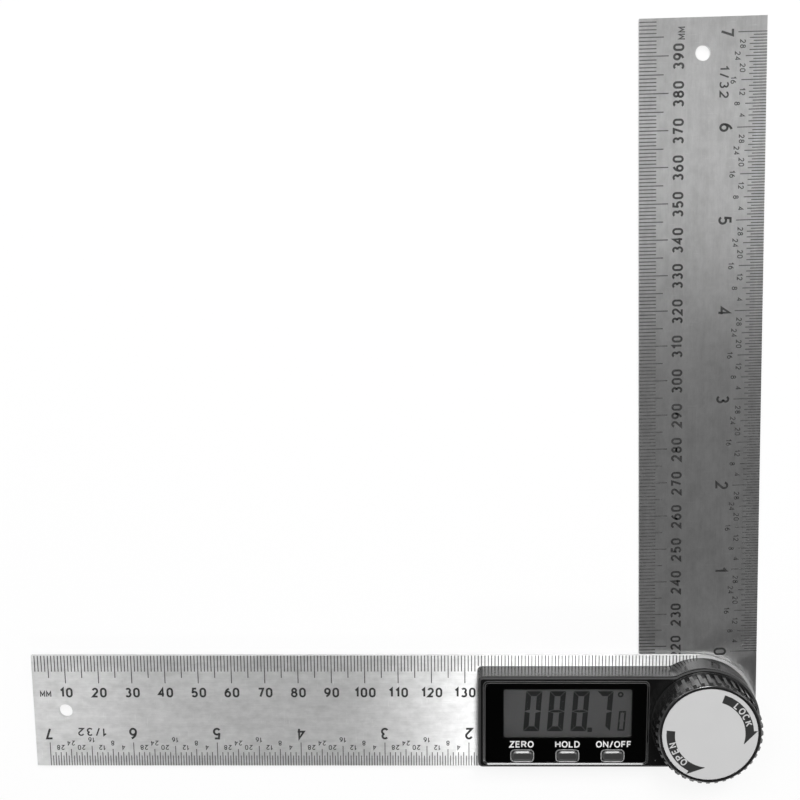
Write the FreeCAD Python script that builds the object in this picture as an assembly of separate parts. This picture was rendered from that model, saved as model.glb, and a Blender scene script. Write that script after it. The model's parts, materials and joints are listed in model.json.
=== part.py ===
# Digital protractor: two steel rulers that turn on one pivot, with an angle read-out on the front ruler.
#
# The frame: the pivot axis is Z and the origin is where it leaves the underside of the swinging ruler,
# which lies on the table. The base ruler points along -X, and the swinging ruler lies 88.7 degrees from
# it, nearly along +Y. The base ruler sits one friction washer above the swinging ruler, and the housing,
# its window and the lock knob stand on top of it. Everything is in millimetres.

import FreeCAD
import Part
import math
import os

V = FreeCAD.Vector

# Clearances
RUNNING = 0.05          # shaft in a bearing, all round
SLIP = 0.02             # parts of one body that fit together, all round
PLAY = 0.15             # moulded parts and boards in their pockets, all round

# The two rulers
SCALE_LENGTH = 200.0    # pivot axis to the free end
RULER_WIDTH = 35.0
RULER_THICKNESS = 1.2
HANG_HOLE_RADIUS = 2.1
HANG_HOLE_TO_END = 9.5
REST_ANGLE = 88.7       # between the rulers, as the display reads
WASHER_GAP = 0.3        # between the rulers
ROUND_EDGE = 0.8        # ruler left bare round the housing's round end

# Battery and its screwed door
BATTERY_RADIUS = 10.0
BATTERY_HEIGHT = 3.2
BATTERY_CAP_RADIUS = 8.7
BATTERY_CAP_HEIGHT = 0.45
DOOR_THICKNESS = 0.85
COIN_SLOT_LENGTH = 13.0
COIN_SLOT_WIDTH = 1.7
COIN_SLOT_DEPTH = 0.55
COIN_SLOT_CORNER = 0.8
SEAL_THICKNESS = 0.5
SEAL_WIDTH = 0.8        # from the cup's bore to the door's edge
CUP_WALL = 1.1
CUP_THREAD_WALL = 0.8
CUP_FLANGE = 0.65
CUP_FLANGE_THICKNESS = 0.6
CONTACT_SPACE = 0.28    # battery top to the board
CONTACT_THICKNESS = 0.2
CONTACT_WIDTH = 4.0

# Pivot
HUB_SHOULDER_RADIUS = 7.0
HUB_NECK_RADIUS = 4.5
HUB_FLAT = 0.6          # depth of the flat that keys the rotor
HUB_SCREW_TO_EDGE = 2.75
BUSH_WALL = 1.2
BUSH_FLANGE = 1.6
BUSH_FLANGE_THICKNESS = 0.8
ROTOR_THICKNESS = 0.8
ROTOR_RADIUS = 12.2
ROTOR_AIR_GAP = 0.5
RETAINER_THICKNESS = 0.3
RETAINER_WIDTH = 1.7
STUD_RADIUS = 2.5       # M5
STUD_BOTTOM_SPACE = 2.0
HUB_FLOOR = 1.0         # steel left under the threaded bore

# Circuit board, display and keys
BOARD_THICKNESS = 0.8
BOARD_EDGE = 0.35       # board edge to the housing wall
CHIP_SIZE = 4.4
CHIP_HEIGHT = 0.9
CHIP_TO_END = 8.6       # chip centre to the housing's end wall
CRYSTAL_WIDTH = 1.2
CRYSTAL_CORNER = 0.4
CAPACITOR_LENGTH = 1.2
CAPACITOR_WIDTH = 0.6
CAPACITOR_HEIGHT = 0.45
CAPACITOR_PITCH = 1.8
CHIP_SPACING = 1.1
ZEBRA_HEIGHT = 1.8
ZEBRA_WIDTH = 1.8
GLASS_THICKNESS = 0.8   # each of the display's two plates
VIEW_LENGTH = 37.9
VIEW_WIDTH = 15.2
VIEW_BORDER = 1.0
LEDGE = 2.0             # contact ledge of the front plate
KEY_PITCH = 13.3
KEY_TO_EDGE = 2.35      # key centre to the window's lower edge
KEY_LENGTH = 6.2
KEY_WIDTH = 3.1
KEY_CORNER = 1.3
KEY_PROUD = 0.3
KEY_LIP = 0.3
KEY_LIP_THICKNESS = 0.7
KEY_TRAVEL = 0.4
KEY_STEM_RADIUS = 1.2
KEY_CROWN = 0.35
DOME_RADIUS = 2.0
DOME_FLAT = 0.2         # height left when pressed

# Housing
HOUSING_WALL = 1.5
HOUSING_ROOF = 1.6
HOUSING_SIDE_SPACE = 0.05
HOUSING_ROUND_SPACE = 0.6
HOUSING_CORNER = 1.5
HOUSING_NECK_FILLET = 3.0
HOUSING_TOP_ROUND = 0.85
DRAFT_ANGLE = 1.0
WINDOW_TO_KNOB = 0.95
BORDER_NEAR = 4.3       # each border is from the visible area to the window's edge
BORDER_FAR = 5.4
BORDER_UPPER = 2.15
BORDER_LOWER = 7.65
WINDOW_DROP = 0.15      # window centre below the middle of the ruler
WINDOW_TO_END = 2.05    # window to the housing's end wall
WINDOW_THICKNESS = 0.8
WINDOW_CORNER = 1.2
WINDOW_EDGE_BREAK = 0.15
ADHESIVE_THICKNESS = 0.1
MASK_CORNER = 2.8       # the rounded upper left corner of the black mask
KEY_HOLE_MARGIN = 0.3
POST_RADIUS = 2.0
POST_INSET_X = 3.7      # housing screw posts, from the end wall
POST_INSET_Y = 4.25     # and from the side walls
POST_TO_WINDOW = 0.95   # the posts by the pivot, from the window's near edge
BOARD_POST_RADIUS = 1.8
BOARD_POST_Y = 3.6
DISPLAY_RIM = 1.0       # locating rim round the display, under the roof
DISPLAY_RIM_LOW = 0.5   # the rim's side by the keys
DISPLAY_RIM_DEPTH = 1.2
COLLAR_SPACE = 0.2      # round the hub's neck
COLLAR_WALL = 1.6
COLLAR_DEPTH = 2.2
RIB_THICKNESS = 1.0
RIB_DEPTH = 1.0
RIB_COUNT = 6

# Screws
SCREW_RADIUS = 1.0      # M2
SCREW_HEAD_RADIUS = 1.9
SCREW_HEAD_HEIGHT = 0.9
SCREW_THREAD = 5.0      # length inside a post
HUB_SCREW_DEPTH = 2.0
BOARD_SCREW_RADIUS = 0.5
BOARD_SCREW_HEAD_RADIUS = 1.5
BOARD_SCREW_HEAD_HEIGHT = 0.6
SLOT_WIDTH = 0.4
SLOT_DEPTH = 0.35

# Lock knob
KNOB_RADIUS = 14.9      # the valleys between the ribs
KNOB_TAPER = 0.1
KNOB_FLANGE = 0.8
KNOB_FLANGE_HEIGHT = 0.7
KNOB_HEIGHT = 7.7
KNOB_LIFT_SPACE = 0.3   # under the skirt
KNOB_RIB_COUNT = 40
KNOB_RIB_HEIGHT = 0.6
KNOB_RIB_WIDTH = 1.0
KNOB_RIB_TOP = 0.3      # below the knob's top
KNOB_TOP_ROUND = 0.5
KNOB_WALL = 1.6
KNOB_ROOF = 1.7
KNOB_HUB_RADIUS = 7.2
KNOB_WEB_COUNT = 8
KNOB_WEB_THICKNESS = 1.0
LABEL_RADIUS = 13.7
LABEL_THICKNESS = 0.25
LABEL_RECESS = 0.35
INSERT_RADIUS = 4.2
INSERT_HEIGHT = 4.6
INSERT_GROOVE = 0.5
INSERT_WAIST = 2.3      # middle of the groove, above the thrust face
THRUST_THICKNESS = 0.5
THRUST_RADIUS = 9.3
SPRING_HEIGHT = 0.6
SPRING_THICKNESS = 0.25
WASHER_RECESS = 0.5

# Heights, from the table up
SWING_TOP = RULER_THICKNESS
BASE_FLOOR = SWING_TOP + WASHER_GAP
BASE_TOP = BASE_FLOOR + RULER_THICKNESS
DOOR_TOP = BASE_FLOOR + DOOR_THICKNESS
BATTERY_FLOOR = DOOR_TOP + RUNNING
BATTERY_TOP = BATTERY_FLOOR + BATTERY_HEIGHT
BOARD_FLOOR = BATTERY_TOP + CONTACT_SPACE
BOARD_TOP = BOARD_FLOOR + BOARD_THICKNESS
FRONT_GLASS_FLOOR = BOARD_TOP + ZEBRA_HEIGHT
REAR_GLASS_FLOOR = FRONT_GLASS_FLOOR - GLASS_THICKNESS
ROOF_FLOOR = FRONT_GLASS_FLOOR + GLASS_THICKNESS
HOUSING_TOP = ROOF_FLOOR + HOUSING_ROOF
WINDOW_FLOOR = HOUSING_TOP - WINDOW_THICKNESS
WINDOW_SEAT = WINDOW_FLOOR - ADHESIVE_THICKNESS
BUSH_TOP = BASE_TOP + BUSH_FLANGE_THICKNESS
ROTOR_TOP = BOARD_FLOOR - ROTOR_AIR_GAP
ROTOR_FLOOR = ROTOR_TOP - ROTOR_THICKNESS
SPRING_SEAT = HOUSING_TOP - WASHER_RECESS
THRUST_FLOOR = SPRING_SEAT + SPRING_HEIGHT
THRUST_TOP = THRUST_FLOOR + THRUST_THICKNESS
HUB_TOP = SPRING_SEAT - RUNNING
KNOB_FLOOR = HOUSING_TOP + KNOB_LIFT_SPACE
KNOB_TOP = KNOB_FLOOR + KNOB_HEIGHT
LABEL_FLOOR = KNOB_TOP - LABEL_RECESS
KEY_TOP = HOUSING_TOP + KEY_PROUD
KEY_LIP_TOP = ROOF_FLOOR - PLAY
DOME_HEIGHT = KEY_TRAVEL + DOME_FLAT
DOME_TOP = BOARD_TOP + DOME_HEIGHT

# Sizes round the pivot, from the ruler's round end inwards
END_RADIUS = RULER_WIDTH / 2
SWING_DIRECTION = 180.0 - REST_ANGLE
HOUSING_ROUND_RADIUS = END_RADIUS - ROUND_EDGE
BUSH_FLANGE_RADIUS = HOUSING_ROUND_RADIUS - HOUSING_WALL - HOUSING_ROUND_SPACE
BUSH_RADIUS = BUSH_FLANGE_RADIUS - BUSH_FLANGE
BUSH_BORE = BUSH_RADIUS - BUSH_WALL
HUB_FLANGE_RADIUS = BUSH_BORE - RUNNING
HUB_SCREW_CIRCLE = HUB_FLANGE_RADIUS - HUB_SCREW_TO_EDGE
COLLAR_BORE = HUB_NECK_RADIUS + COLLAR_SPACE
BOARD_HOLE = COLLAR_BORE + COLLAR_WALL + PLAY

# Sizes along the housing, from the knob outwards, and round the battery
WINDOW_LENGTH = VIEW_LENGTH + BORDER_NEAR + BORDER_FAR
WINDOW_WIDTH = VIEW_WIDTH + BORDER_UPPER + BORDER_LOWER
WINDOW_NEAR = KNOB_RADIUS + KNOB_FLANGE + WINDOW_TO_KNOB
WINDOW_X = -WINDOW_NEAR - WINDOW_LENGTH / 2
WINDOW_Y = -WINDOW_DROP
VIEW_X = -WINDOW_NEAR - BORDER_NEAR - VIEW_LENGTH / 2
VIEW_Y = WINDOW_Y + (BORDER_LOWER - BORDER_UPPER) / 2
BATTERY_X = VIEW_X
HOUSING_REACH = WINDOW_NEAR + WINDOW_LENGTH + WINDOW_TO_END
CUP_BORE = BATTERY_RADIUS + 2 * PLAY
CUP_OUTER_RADIUS = CUP_BORE + CUP_WALL
DOOR_RADIUS = CUP_BORE + SEAL_WIDTH
CUP_THREAD_RADIUS = DOOR_RADIUS + 2 * RUNNING
CUP_SPIGOT_RADIUS = CUP_THREAD_RADIUS + CUP_THREAD_WALL
CUP_FLANGE_RADIUS = CUP_SPIGOT_RADIUS + CUP_FLANGE
HOUSING_HALF_WIDTH = CUP_FLANGE_RADIUS + HOUSING_SIDE_SPACE + HOUSING_WALL
DRAFT = math.tan(math.radians(DRAFT_ANGLE))
KEY_Y = WINDOW_Y - WINDOW_WIDTH / 2 + KEY_TO_EDGE
KEY_PLACES = [(VIEW_X + i * KEY_PITCH, KEY_Y) for i in (-1, 0, 1)]
HUB_SCREW_PLACES = [(HUB_SCREW_CIRCLE * math.cos(math.radians(a)),
                     HUB_SCREW_CIRCLE * math.sin(math.radians(a))) for a in (90, 210, 330)]
POST_Y = HOUSING_HALF_WIDTH - POST_INSET_Y
FRONT_POST_X = -HOUSING_REACH + POST_INSET_X
REAR_POST_X = -WINDOW_NEAR - POST_TO_WINDOW
POST_PLACES = [(x, side * POST_Y) for x in (FRONT_POST_X, REAR_POST_X) for side in (-1, 1)]
BOARD_POST_PLACES = [(x, side * BOARD_POST_Y) for x in (FRONT_POST_X, REAR_POST_X) for side in (-1, 1)]


# Plain shapes

def disc(radius, floor, top, x=0.0, y=0.0):
    """Upright cylinder between two heights."""
    return Part.makeCylinder(radius, top - floor, V(x, y, floor))


def ring(bore, radius, floor, top, x=0.0, y=0.0):
    """Upright tube between two heights."""
    return disc(radius, floor, top, x, y).cut(disc(bore, floor, top, x, y))


def slab(x0, x1, y0, y1, floor, top):
    """Box between two corners."""
    return Part.makeBox(x1 - x0, y1 - y0, top - floor, V(x0, y0, floor))


def turned(profile):
    """Solid of revolution about Z, from (radius, height) corners."""
    corners = [V(r, 0, z) for r, z in profile]
    face = Part.Face(Part.makePolygon(corners + corners[:1]))
    return face.revolve(V(0, 0, 0), V(0, 0, 1), 360)


def rounded_plate(x, y, length, width, corner, floor, top):
    """Rectangular plate with rounded upright corners, centred on x, y."""
    plate = slab(x - length / 2, x + length / 2, y - width / 2, y + width / 2, floor, top)
    upright = [e for e in plate.Edges if abs(e.tangentAt(e.FirstParameter).z) > 0.5]
    return plate.makeFillet(corner, upright)


def fused(solids):
    """One solid from several that meet."""
    return solids[0].multiFuse(solids[1:]).removeSplitter()


def copies_round(shape, count):
    """Copies of a shape, evenly round Z."""
    turned_copies = []
    for i in range(count):
        copy = shape.copy()
        copy.rotate(V(0, 0, 0), V(0, 0, 1), i * 360.0 / count)
        turned_copies.append(copy)
    return turned_copies


def arc(centre, radius, start, end):
    """Arc of a circle in the XY plane, from one angle to another, in degrees, the shorter way."""
    def at(angle):
        return centre + V(radius * math.cos(math.radians(angle)), radius * math.sin(math.radians(angle)), 0)
    return Part.Arc(at(start), at((start + end) / 2), at(end)).toShape()


def chain(pieces):
    """Closed wire through arcs and the straight lines between their ends."""
    edges = []
    for i, piece in enumerate(pieces):
        following = pieces[(i + 1) % len(pieces)]
        edges.append(piece)
        here = piece.valueAt(piece.LastParameter)
        there = following.valueAt(following.FirstParameter)
        if here.distanceToPoint(there) > 1e-6:
            edges.append(Part.LineSegment(here, there).toShape())
    return Part.Wire(edges)


# The rulers

def ruler_blank(floor):
    """Steel ruler along -X with a round end on the pivot axis and a hole to hang it by."""
    end = arc(V(0, 0, floor), END_RADIUS, 90, -90)
    corners = [V(0, -END_RADIUS, floor), V(-SCALE_LENGTH, -END_RADIUS, floor),
               V(-SCALE_LENGTH, END_RADIUS, floor), V(0, END_RADIUS, floor)]
    sides = [Part.LineSegment(a, b).toShape() for a, b in zip(corners, corners[1:])]
    blank = Part.Face(Part.Wire([end] + sides)).extrude(V(0, 0, RULER_THICKNESS))
    hole_x = -SCALE_LENGTH + HANG_HOLE_TO_END
    return blank.cut(disc(HANG_HOLE_RADIUS, floor, floor + RULER_THICKNESS, hole_x))


def countersunk_hole(x, y, floor, top):
    """Cutter for a screw hole that is countersunk from below."""
    head = Part.makeCone(SCREW_HEAD_RADIUS + SLIP, SCREW_RADIUS + SLIP, SCREW_HEAD_HEIGHT, V(x, y, floor))
    return head.fuse(disc(SCREW_RADIUS + SLIP, floor, top, x, y))


def countersunk_screw(x, y, floor, tip):
    """Slotted countersunk screw, head down."""
    head = Part.makeCone(SCREW_HEAD_RADIUS, SCREW_RADIUS, SCREW_HEAD_HEIGHT, V(x, y, floor))
    screw = head.fuse(disc(SCREW_RADIUS, floor, tip, x, y)).removeSplitter()
    reach = SCREW_HEAD_RADIUS + 1
    return screw.cut(slab(x - reach, x + reach, y - SLOT_WIDTH / 2, y + SLOT_WIDTH / 2,
                          floor, floor + SLOT_DEPTH))


def base_ruler():
    """The front ruler, with the bush's seat, the battery's hole and the housing's screw holes."""
    ruler = ruler_blank(BASE_FLOOR)
    ruler = ruler.cut(disc(BUSH_RADIUS + SLIP, BASE_FLOOR, BASE_TOP))
    ruler = ruler.cut(disc(CUP_SPIGOT_RADIUS + SLIP, BASE_FLOOR, BASE_TOP, BATTERY_X))
    for x, y in POST_PLACES:
        ruler = ruler.cut(countersunk_hole(x, y, BASE_FLOOR, BASE_TOP))
    return ruler


def swung(shape):
    """Turns a shape made along -X, about the pivot, to where the swinging ruler rests."""
    shape.rotate(V(0, 0, 0), V(0, 0, 1), SWING_DIRECTION - 180.0)
    return shape


def swing_ruler():
    """The ruler behind, screwed to the hub from its underside."""
    ruler = ruler_blank(0.0)
    for x, y in HUB_SCREW_PLACES:
        ruler = ruler.cut(countersunk_hole(x, y, 0.0, SWING_TOP))
    return swung(ruler)


# The pivot

def pivot_hub():
    """Turned steel hub: a bearing flange, a shoulder for the rotor and a neck with the lock thread."""
    hub = turned([(0, SWING_TOP), (HUB_FLANGE_RADIUS, SWING_TOP), (HUB_FLANGE_RADIUS, BUSH_TOP),
                  (HUB_SHOULDER_RADIUS, BUSH_TOP), (HUB_SHOULDER_RADIUS, ROTOR_FLOOR),
                  (HUB_NECK_RADIUS, ROTOR_FLOOR), (HUB_NECK_RADIUS, HUB_TOP - RUNNING),
                  (HUB_NECK_RADIUS - RUNNING, HUB_TOP), (0, HUB_TOP)])
    hub = hub.cut(disc(STUD_RADIUS + RUNNING, SWING_TOP + HUB_FLOOR, HUB_TOP))
    for x, y in HUB_SCREW_PLACES:
        hub = hub.cut(disc(SCREW_RADIUS + SLIP, SWING_TOP, SWING_TOP + HUB_SCREW_DEPTH, x, y))
    flat = slab(-HUB_NECK_RADIUS, HUB_NECK_RADIUS, HUB_NECK_RADIUS - HUB_FLAT, HUB_NECK_RADIUS,
                ROTOR_FLOOR, ROTOR_TOP)
    return swung(hub.cut(flat))


def hub_screws():
    """Three screws from the swinging ruler into the hub."""
    tip = SWING_TOP + HUB_SCREW_DEPTH - SLIP
    return swung(Part.makeCompound([countersunk_screw(x, y, 0.0, tip) for x, y in HUB_SCREW_PLACES]))


def friction_washer():
    """Thin washer that keeps the rulers apart and lets them drag on each other."""
    return ring(BUSH_BORE + PLAY, END_RADIUS - 2 * PLAY, SWING_TOP, BASE_FLOOR - SLIP)


def pivot_bush():
    """Flanged bearing bush in the base ruler."""
    return turned([(BUSH_BORE, BASE_FLOOR), (BUSH_RADIUS, BASE_FLOOR), (BUSH_RADIUS, BASE_TOP),
                   (BUSH_FLANGE_RADIUS, BASE_TOP), (BUSH_FLANGE_RADIUS, BUSH_TOP), (BUSH_BORE, BUSH_TOP)])


def encoder_rotor():
    """Patterned ring that turns with the hub under the board's own ring, keyed by the hub's flat."""
    bore = disc(HUB_NECK_RADIUS + SLIP, ROTOR_FLOOR, ROTOR_TOP)
    bore = bore.cut(slab(-HUB_NECK_RADIUS, HUB_NECK_RADIUS, HUB_NECK_RADIUS - HUB_FLAT + SLIP,
                         HUB_NECK_RADIUS + 1, ROTOR_FLOOR, ROTOR_TOP))
    return swung(disc(ROTOR_RADIUS, ROTOR_FLOOR, ROTOR_TOP).cut(bore))


def rotor_retainer():
    """Push-on ring that holds the rotor down on the hub's shoulder."""
    return ring(HUB_NECK_RADIUS + SLIP, HUB_NECK_RADIUS + RETAINER_WIDTH,
                ROTOR_TOP, ROTOR_TOP + RETAINER_THICKNESS)


# Battery and door

def battery_cup():
    """Moulded ring round the battery. Its spigot fills the ruler's hole and carries the door's thread."""
    ledge = DOOR_TOP + SEAL_THICKNESS + 2 * RUNNING
    over_flange = BASE_TOP + CUP_FLANGE_THICKNESS
    cup = turned([(CUP_THREAD_RADIUS, BASE_FLOOR), (CUP_SPIGOT_RADIUS, BASE_FLOOR),
                  (CUP_SPIGOT_RADIUS, BASE_TOP), (CUP_FLANGE_RADIUS, BASE_TOP),
                  (CUP_FLANGE_RADIUS, over_flange), (CUP_OUTER_RADIUS, over_flange),
                  (CUP_OUTER_RADIUS, BOARD_FLOOR), (CUP_BORE, BOARD_FLOOR),
                  (CUP_BORE, ledge), (CUP_THREAD_RADIUS, ledge)])
    slot = CONTACT_WIDTH / 2 + PLAY
    cup = cup.cut(slab(-CUP_FLANGE_RADIUS, -BATTERY_RADIUS, -slot, slot, over_flange, BOARD_FLOOR))
    cup = cup.cut(slab(BATTERY_RADIUS, CUP_FLANGE_RADIUS, -slot, slot, BATTERY_TOP, BOARD_FLOOR))
    cup.translate(V(BATTERY_X, 0, 0))
    return cup


def battery():
    """Coin cell, wide face down on the door."""
    shoulder = BATTERY_TOP - BATTERY_CAP_HEIGHT
    cell = turned([(0, BATTERY_FLOOR), (BATTERY_RADIUS, BATTERY_FLOOR), (BATTERY_RADIUS, shoulder),
                   (BATTERY_CAP_RADIUS, shoulder), (BATTERY_CAP_RADIUS, BATTERY_TOP), (0, BATTERY_TOP)])
    rim = [e for e in cell.Edges if abs(e.BoundBox.ZMax - BATTERY_FLOOR) < 1e-6 and e.BoundBox.XLength > 1]
    cell = cell.makeChamfer(BATTERY_CAP_HEIGHT / 2, rim)
    cell.translate(V(BATTERY_X, 0, 0))
    return cell


def positive_contact():
    """Bent strip: a leaf against the battery's side, and a foot soldered under the board."""
    leaf_x = BATTERY_X - BATTERY_RADIUS - RUNNING
    leaf_floor = BASE_TOP + CUP_FLANGE_THICKNESS + PLAY
    half = CONTACT_WIDTH / 2
    leaf = slab(leaf_x - CONTACT_THICKNESS, leaf_x, -half, half, leaf_floor, BOARD_FLOOR)
    foot_x = BATTERY_X - CUP_OUTER_RADIUS - half
    foot = slab(foot_x, leaf_x, -half, half, BOARD_FLOOR - CONTACT_THICKNESS, BOARD_FLOOR)
    return fused([leaf, foot])


def negative_contact():
    """Leaf under the board with a dimple that meets the middle of the battery's cap."""
    half = CONTACT_WIDTH / 2
    foot_x = BATTERY_X + CUP_OUTER_RADIUS + half
    leaf = slab(BATTERY_X - half, foot_x, -half, half, BOARD_FLOOR - CONTACT_THICKNESS, BOARD_FLOOR)
    depth = CONTACT_SPACE - CONTACT_THICKNESS - SLIP
    base = half / 2
    radius = (base ** 2 + depth ** 2) / (2 * depth)
    tip = BATTERY_TOP + SLIP
    ball = Part.makeSphere(radius, V(BATTERY_X, 0, tip + radius))
    dimple = ball.common(slab(BATTERY_X - base, BATTERY_X + base, -base, base, tip,
                              BOARD_FLOOR - CONTACT_THICKNESS / 2))
    return fused([leaf, dimple])


def battery_door():
    """Screwed disc, flush with the ruler's underside, with a slot for a coin."""
    door = disc(DOOR_RADIUS, BASE_FLOOR, DOOR_TOP, BATTERY_X)
    slot = rounded_plate(BATTERY_X, 0, COIN_SLOT_LENGTH, COIN_SLOT_WIDTH, COIN_SLOT_CORNER,
                         BASE_FLOOR, BASE_FLOOR + COIN_SLOT_DEPTH)
    door = door.cut(slot)
    edge = [e for e in door.Edges if abs(e.BoundBox.ZMax - BASE_FLOOR) < 1e-6
            and e.BoundBox.XLength > 2 * DOOR_RADIUS - 0.1]
    return door.makeChamfer(PLAY, edge)


def door_seal():
    """Flat rubber ring between the door and the cup's ledge."""
    floor = DOOR_TOP + SLIP
    return ring(CUP_BORE, DOOR_RADIUS, floor, floor + SEAL_THICKNESS, BATTERY_X)


# The housing

def housing_outline(inset, height):
    """The housing's outline, drawn in by inset: two corners at the far end, a round end at the pivot."""
    half = HOUSING_HALF_WIDTH - inset
    end_x = -HOUSING_REACH + inset
    round_end = HOUSING_ROUND_RADIUS - inset
    corner = max(HOUSING_CORNER - inset, HOUSING_CORNER / 3)
    fillet = HOUSING_NECK_FILLET + inset
    neck_y = half + fillet
    neck_x = -math.sqrt((round_end + fillet) ** 2 - neck_y ** 2)
    lean = math.degrees(math.atan2(neck_y, neck_x))
    return chain([
        arc(V(end_x + corner, half - corner, height), corner, 180, 90),
        arc(V(neck_x, neck_y, height), fillet, -90, lean - 180),
        arc(V(0, 0, height), round_end, lean, -lean),
        arc(V(neck_x, -neck_y, height), fillet, 180 - lean, 90),
        arc(V(end_x + corner, -half + corner, height), corner, 270, 180)])


def housing_block(inset, floor, top):
    """Solid of the housing's outline with drafted walls, which lean in as they rise."""
    def section(height):
        return housing_outline(inset + (height - BASE_TOP) * DRAFT, height)
    return Part.makeLoft([section(floor), section(top)], True, True)


def window_plate(margin, floor, top):
    """Plate of the window's outline, larger all round by margin."""
    return rounded_plate(WINDOW_X, WINDOW_Y, WINDOW_LENGTH + 2 * margin, WINDOW_WIDTH + 2 * margin,
                         WINDOW_CORNER + margin, floor, top)


def key_plate(place, margin, floor, top):
    """Plate of a key's outline, larger all round by margin."""
    return rounded_plate(place[0], place[1], KEY_LENGTH + 2 * margin, KEY_WIDTH + 2 * margin,
                         KEY_CORNER + margin, floor, top)


def view_plate(margin, floor, top):
    """Box of the display's visible area, larger all round by margin."""
    return slab(VIEW_X - VIEW_LENGTH / 2 - margin, VIEW_X + VIEW_LENGTH / 2 + margin,
                VIEW_Y - VIEW_WIDTH / 2 - margin, VIEW_Y + VIEW_WIDTH / 2 + margin, floor, top)


def display_rim():
    """Locating rim under the roof, round the display's front plate."""
    x0, x1, y0, y1 = front_glass_edges()
    rim_floor = ROOF_FLOOR - DISPLAY_RIM_DEPTH
    side = PLAY + DISPLAY_RIM
    outer = slab(x0 - side, x1 + side, y0 - PLAY - DISPLAY_RIM_LOW, y1 + side, rim_floor, ROOF_FLOOR)
    return outer.cut(slab(x0 - PLAY, x1 + PLAY, y0 - PLAY, y1 + PLAY, rim_floor, ROOF_FLOOR))


def housing():
    """Moulded cover with drafted walls. Its roof has the window's seat above, and posts, a rim, a collar and
    ribs below."""
    shell = housing_block(0.0, BASE_TOP, HOUSING_TOP)
    top_edges = [e for e in shell.Edges if e.BoundBox.ZMin > HOUSING_TOP - 1e-6]
    shell = shell.makeFillet(HOUSING_TOP_ROUND, top_edges)
    cavity = housing_block(HOUSING_WALL, BASE_TOP, ROOF_FLOOR)
    inner_parts = [disc(POST_RADIUS, BASE_TOP, ROOF_FLOOR, x, y) for x, y in POST_PLACES]
    inner_parts += [disc(BOARD_POST_RADIUS, BOARD_TOP, ROOF_FLOOR, x, y) for x, y in BOARD_POST_PLACES]
    inner_parts.append(display_rim())
    inner_parts.append(disc(COLLAR_BORE + COLLAR_WALL, ROOF_FLOOR - COLLAR_DEPTH, ROOF_FLOOR))
    rib = slab(COLLAR_BORE, HOUSING_ROUND_RADIUS - HOUSING_WALL, -RIB_THICKNESS / 2, RIB_THICKNESS / 2,
               ROOF_FLOOR - RIB_DEPTH, ROOF_FLOOR)
    inner_parts += copies_round(rib, RIB_COUNT)
    shell = shell.cut(cavity).fuse(cavity.common(fused(inner_parts)))
    cutters = [window_plate(PLAY / 2, WINDOW_SEAT, HOUSING_TOP),
               view_plate(VIEW_BORDER / 2, ROOF_FLOOR, WINDOW_SEAT),
               disc(THRUST_RADIUS + 2 * PLAY, SPRING_SEAT, HOUSING_TOP),
               disc(COLLAR_BORE, ROOF_FLOOR - COLLAR_DEPTH, SPRING_SEAT)]
    cutters += [key_plate(place, PLAY, ROOF_FLOOR - DISPLAY_RIM_DEPTH, WINDOW_SEAT) for place in KEY_PLACES]
    cutters += [key_plate(place, KEY_LIP + PLAY, BOARD_TOP, ROOF_FLOOR) for place in KEY_PLACES]
    screw_depth = BASE_TOP + SCREW_THREAD + PLAY
    cutters += [disc(SCREW_RADIUS + SLIP, BASE_TOP, screw_depth, x, y) for x, y in POST_PLACES]
    cutters += [disc(BOARD_SCREW_RADIUS + SLIP, BOARD_TOP, ROOF_FLOOR - PLAY, x, y)
                for x, y in BOARD_POST_PLACES]
    for cutter in cutters:
        shell = shell.cut(cutter)
    return shell.removeSplitter()


def housing_screws():
    """Four screws through the base ruler into the housing's posts."""
    tip = BASE_TOP + SCREW_THREAD
    return Part.makeCompound([countersunk_screw(x, y, BASE_FLOOR, tip) for x, y in POST_PLACES])


def display_window():
    """Clear flush window over the display, with a hole for each key."""
    window = window_plate(-PLAY / 2, WINDOW_FLOOR, HOUSING_TOP)
    for place in KEY_PLACES:
        window = window.cut(key_plate(place, KEY_HOLE_MARGIN, WINDOW_FLOOR, HOUSING_TOP))
    rims = [e for e in window.Edges if e.BoundBox.ZMin > HOUSING_TOP - 1e-6]
    return window.makeChamfer(WINDOW_EDGE_BREAK, rims)


def window_adhesive():
    """Black bonding frame under the window, which masks all but the display's visible area."""
    frame = window_plate(-PLAY, WINDOW_SEAT, WINDOW_FLOOR).cut(view_plate(0.0, WINDOW_SEAT, WINDOW_FLOOR))
    left = WINDOW_X - WINDOW_LENGTH / 2 + PLAY
    upper = WINDOW_Y + WINDOW_WIDTH / 2 - PLAY
    corner = slab(left, left + MASK_CORNER, upper - MASK_CORNER, upper, WINDOW_SEAT, WINDOW_FLOOR)
    frame = frame.cut(corner.cut(disc(MASK_CORNER, WINDOW_SEAT, WINDOW_FLOOR,
                                      left + MASK_CORNER, upper - MASK_CORNER)))
    for place in KEY_PLACES:
        frame = frame.cut(key_plate(place, KEY_HOLE_MARGIN, WINDOW_SEAT, WINDOW_FLOOR))
    return frame


# Display, board and keys

def front_glass_edges():
    """Left, right, lower and upper edge of the display's front plate, with its contact ledge below."""
    return (VIEW_X - VIEW_LENGTH / 2 - VIEW_BORDER, VIEW_X + VIEW_LENGTH / 2 + VIEW_BORDER,
            VIEW_Y - VIEW_WIDTH / 2 - LEDGE, VIEW_Y + VIEW_WIDTH / 2 + VIEW_BORDER)


def lcd_panel():
    """Two glass plates. The front one is longer at the bottom, where its contacts face the strip."""
    x0, x1, y0, y1 = front_glass_edges()
    front = slab(x0, x1, y0, y1, FRONT_GLASS_FLOOR, ROOF_FLOOR - SLIP)
    rear = slab(x0, x1, y0 + LEDGE, y1, REAR_GLASS_FLOOR, FRONT_GLASS_FLOOR)
    return fused([front, rear])


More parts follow.
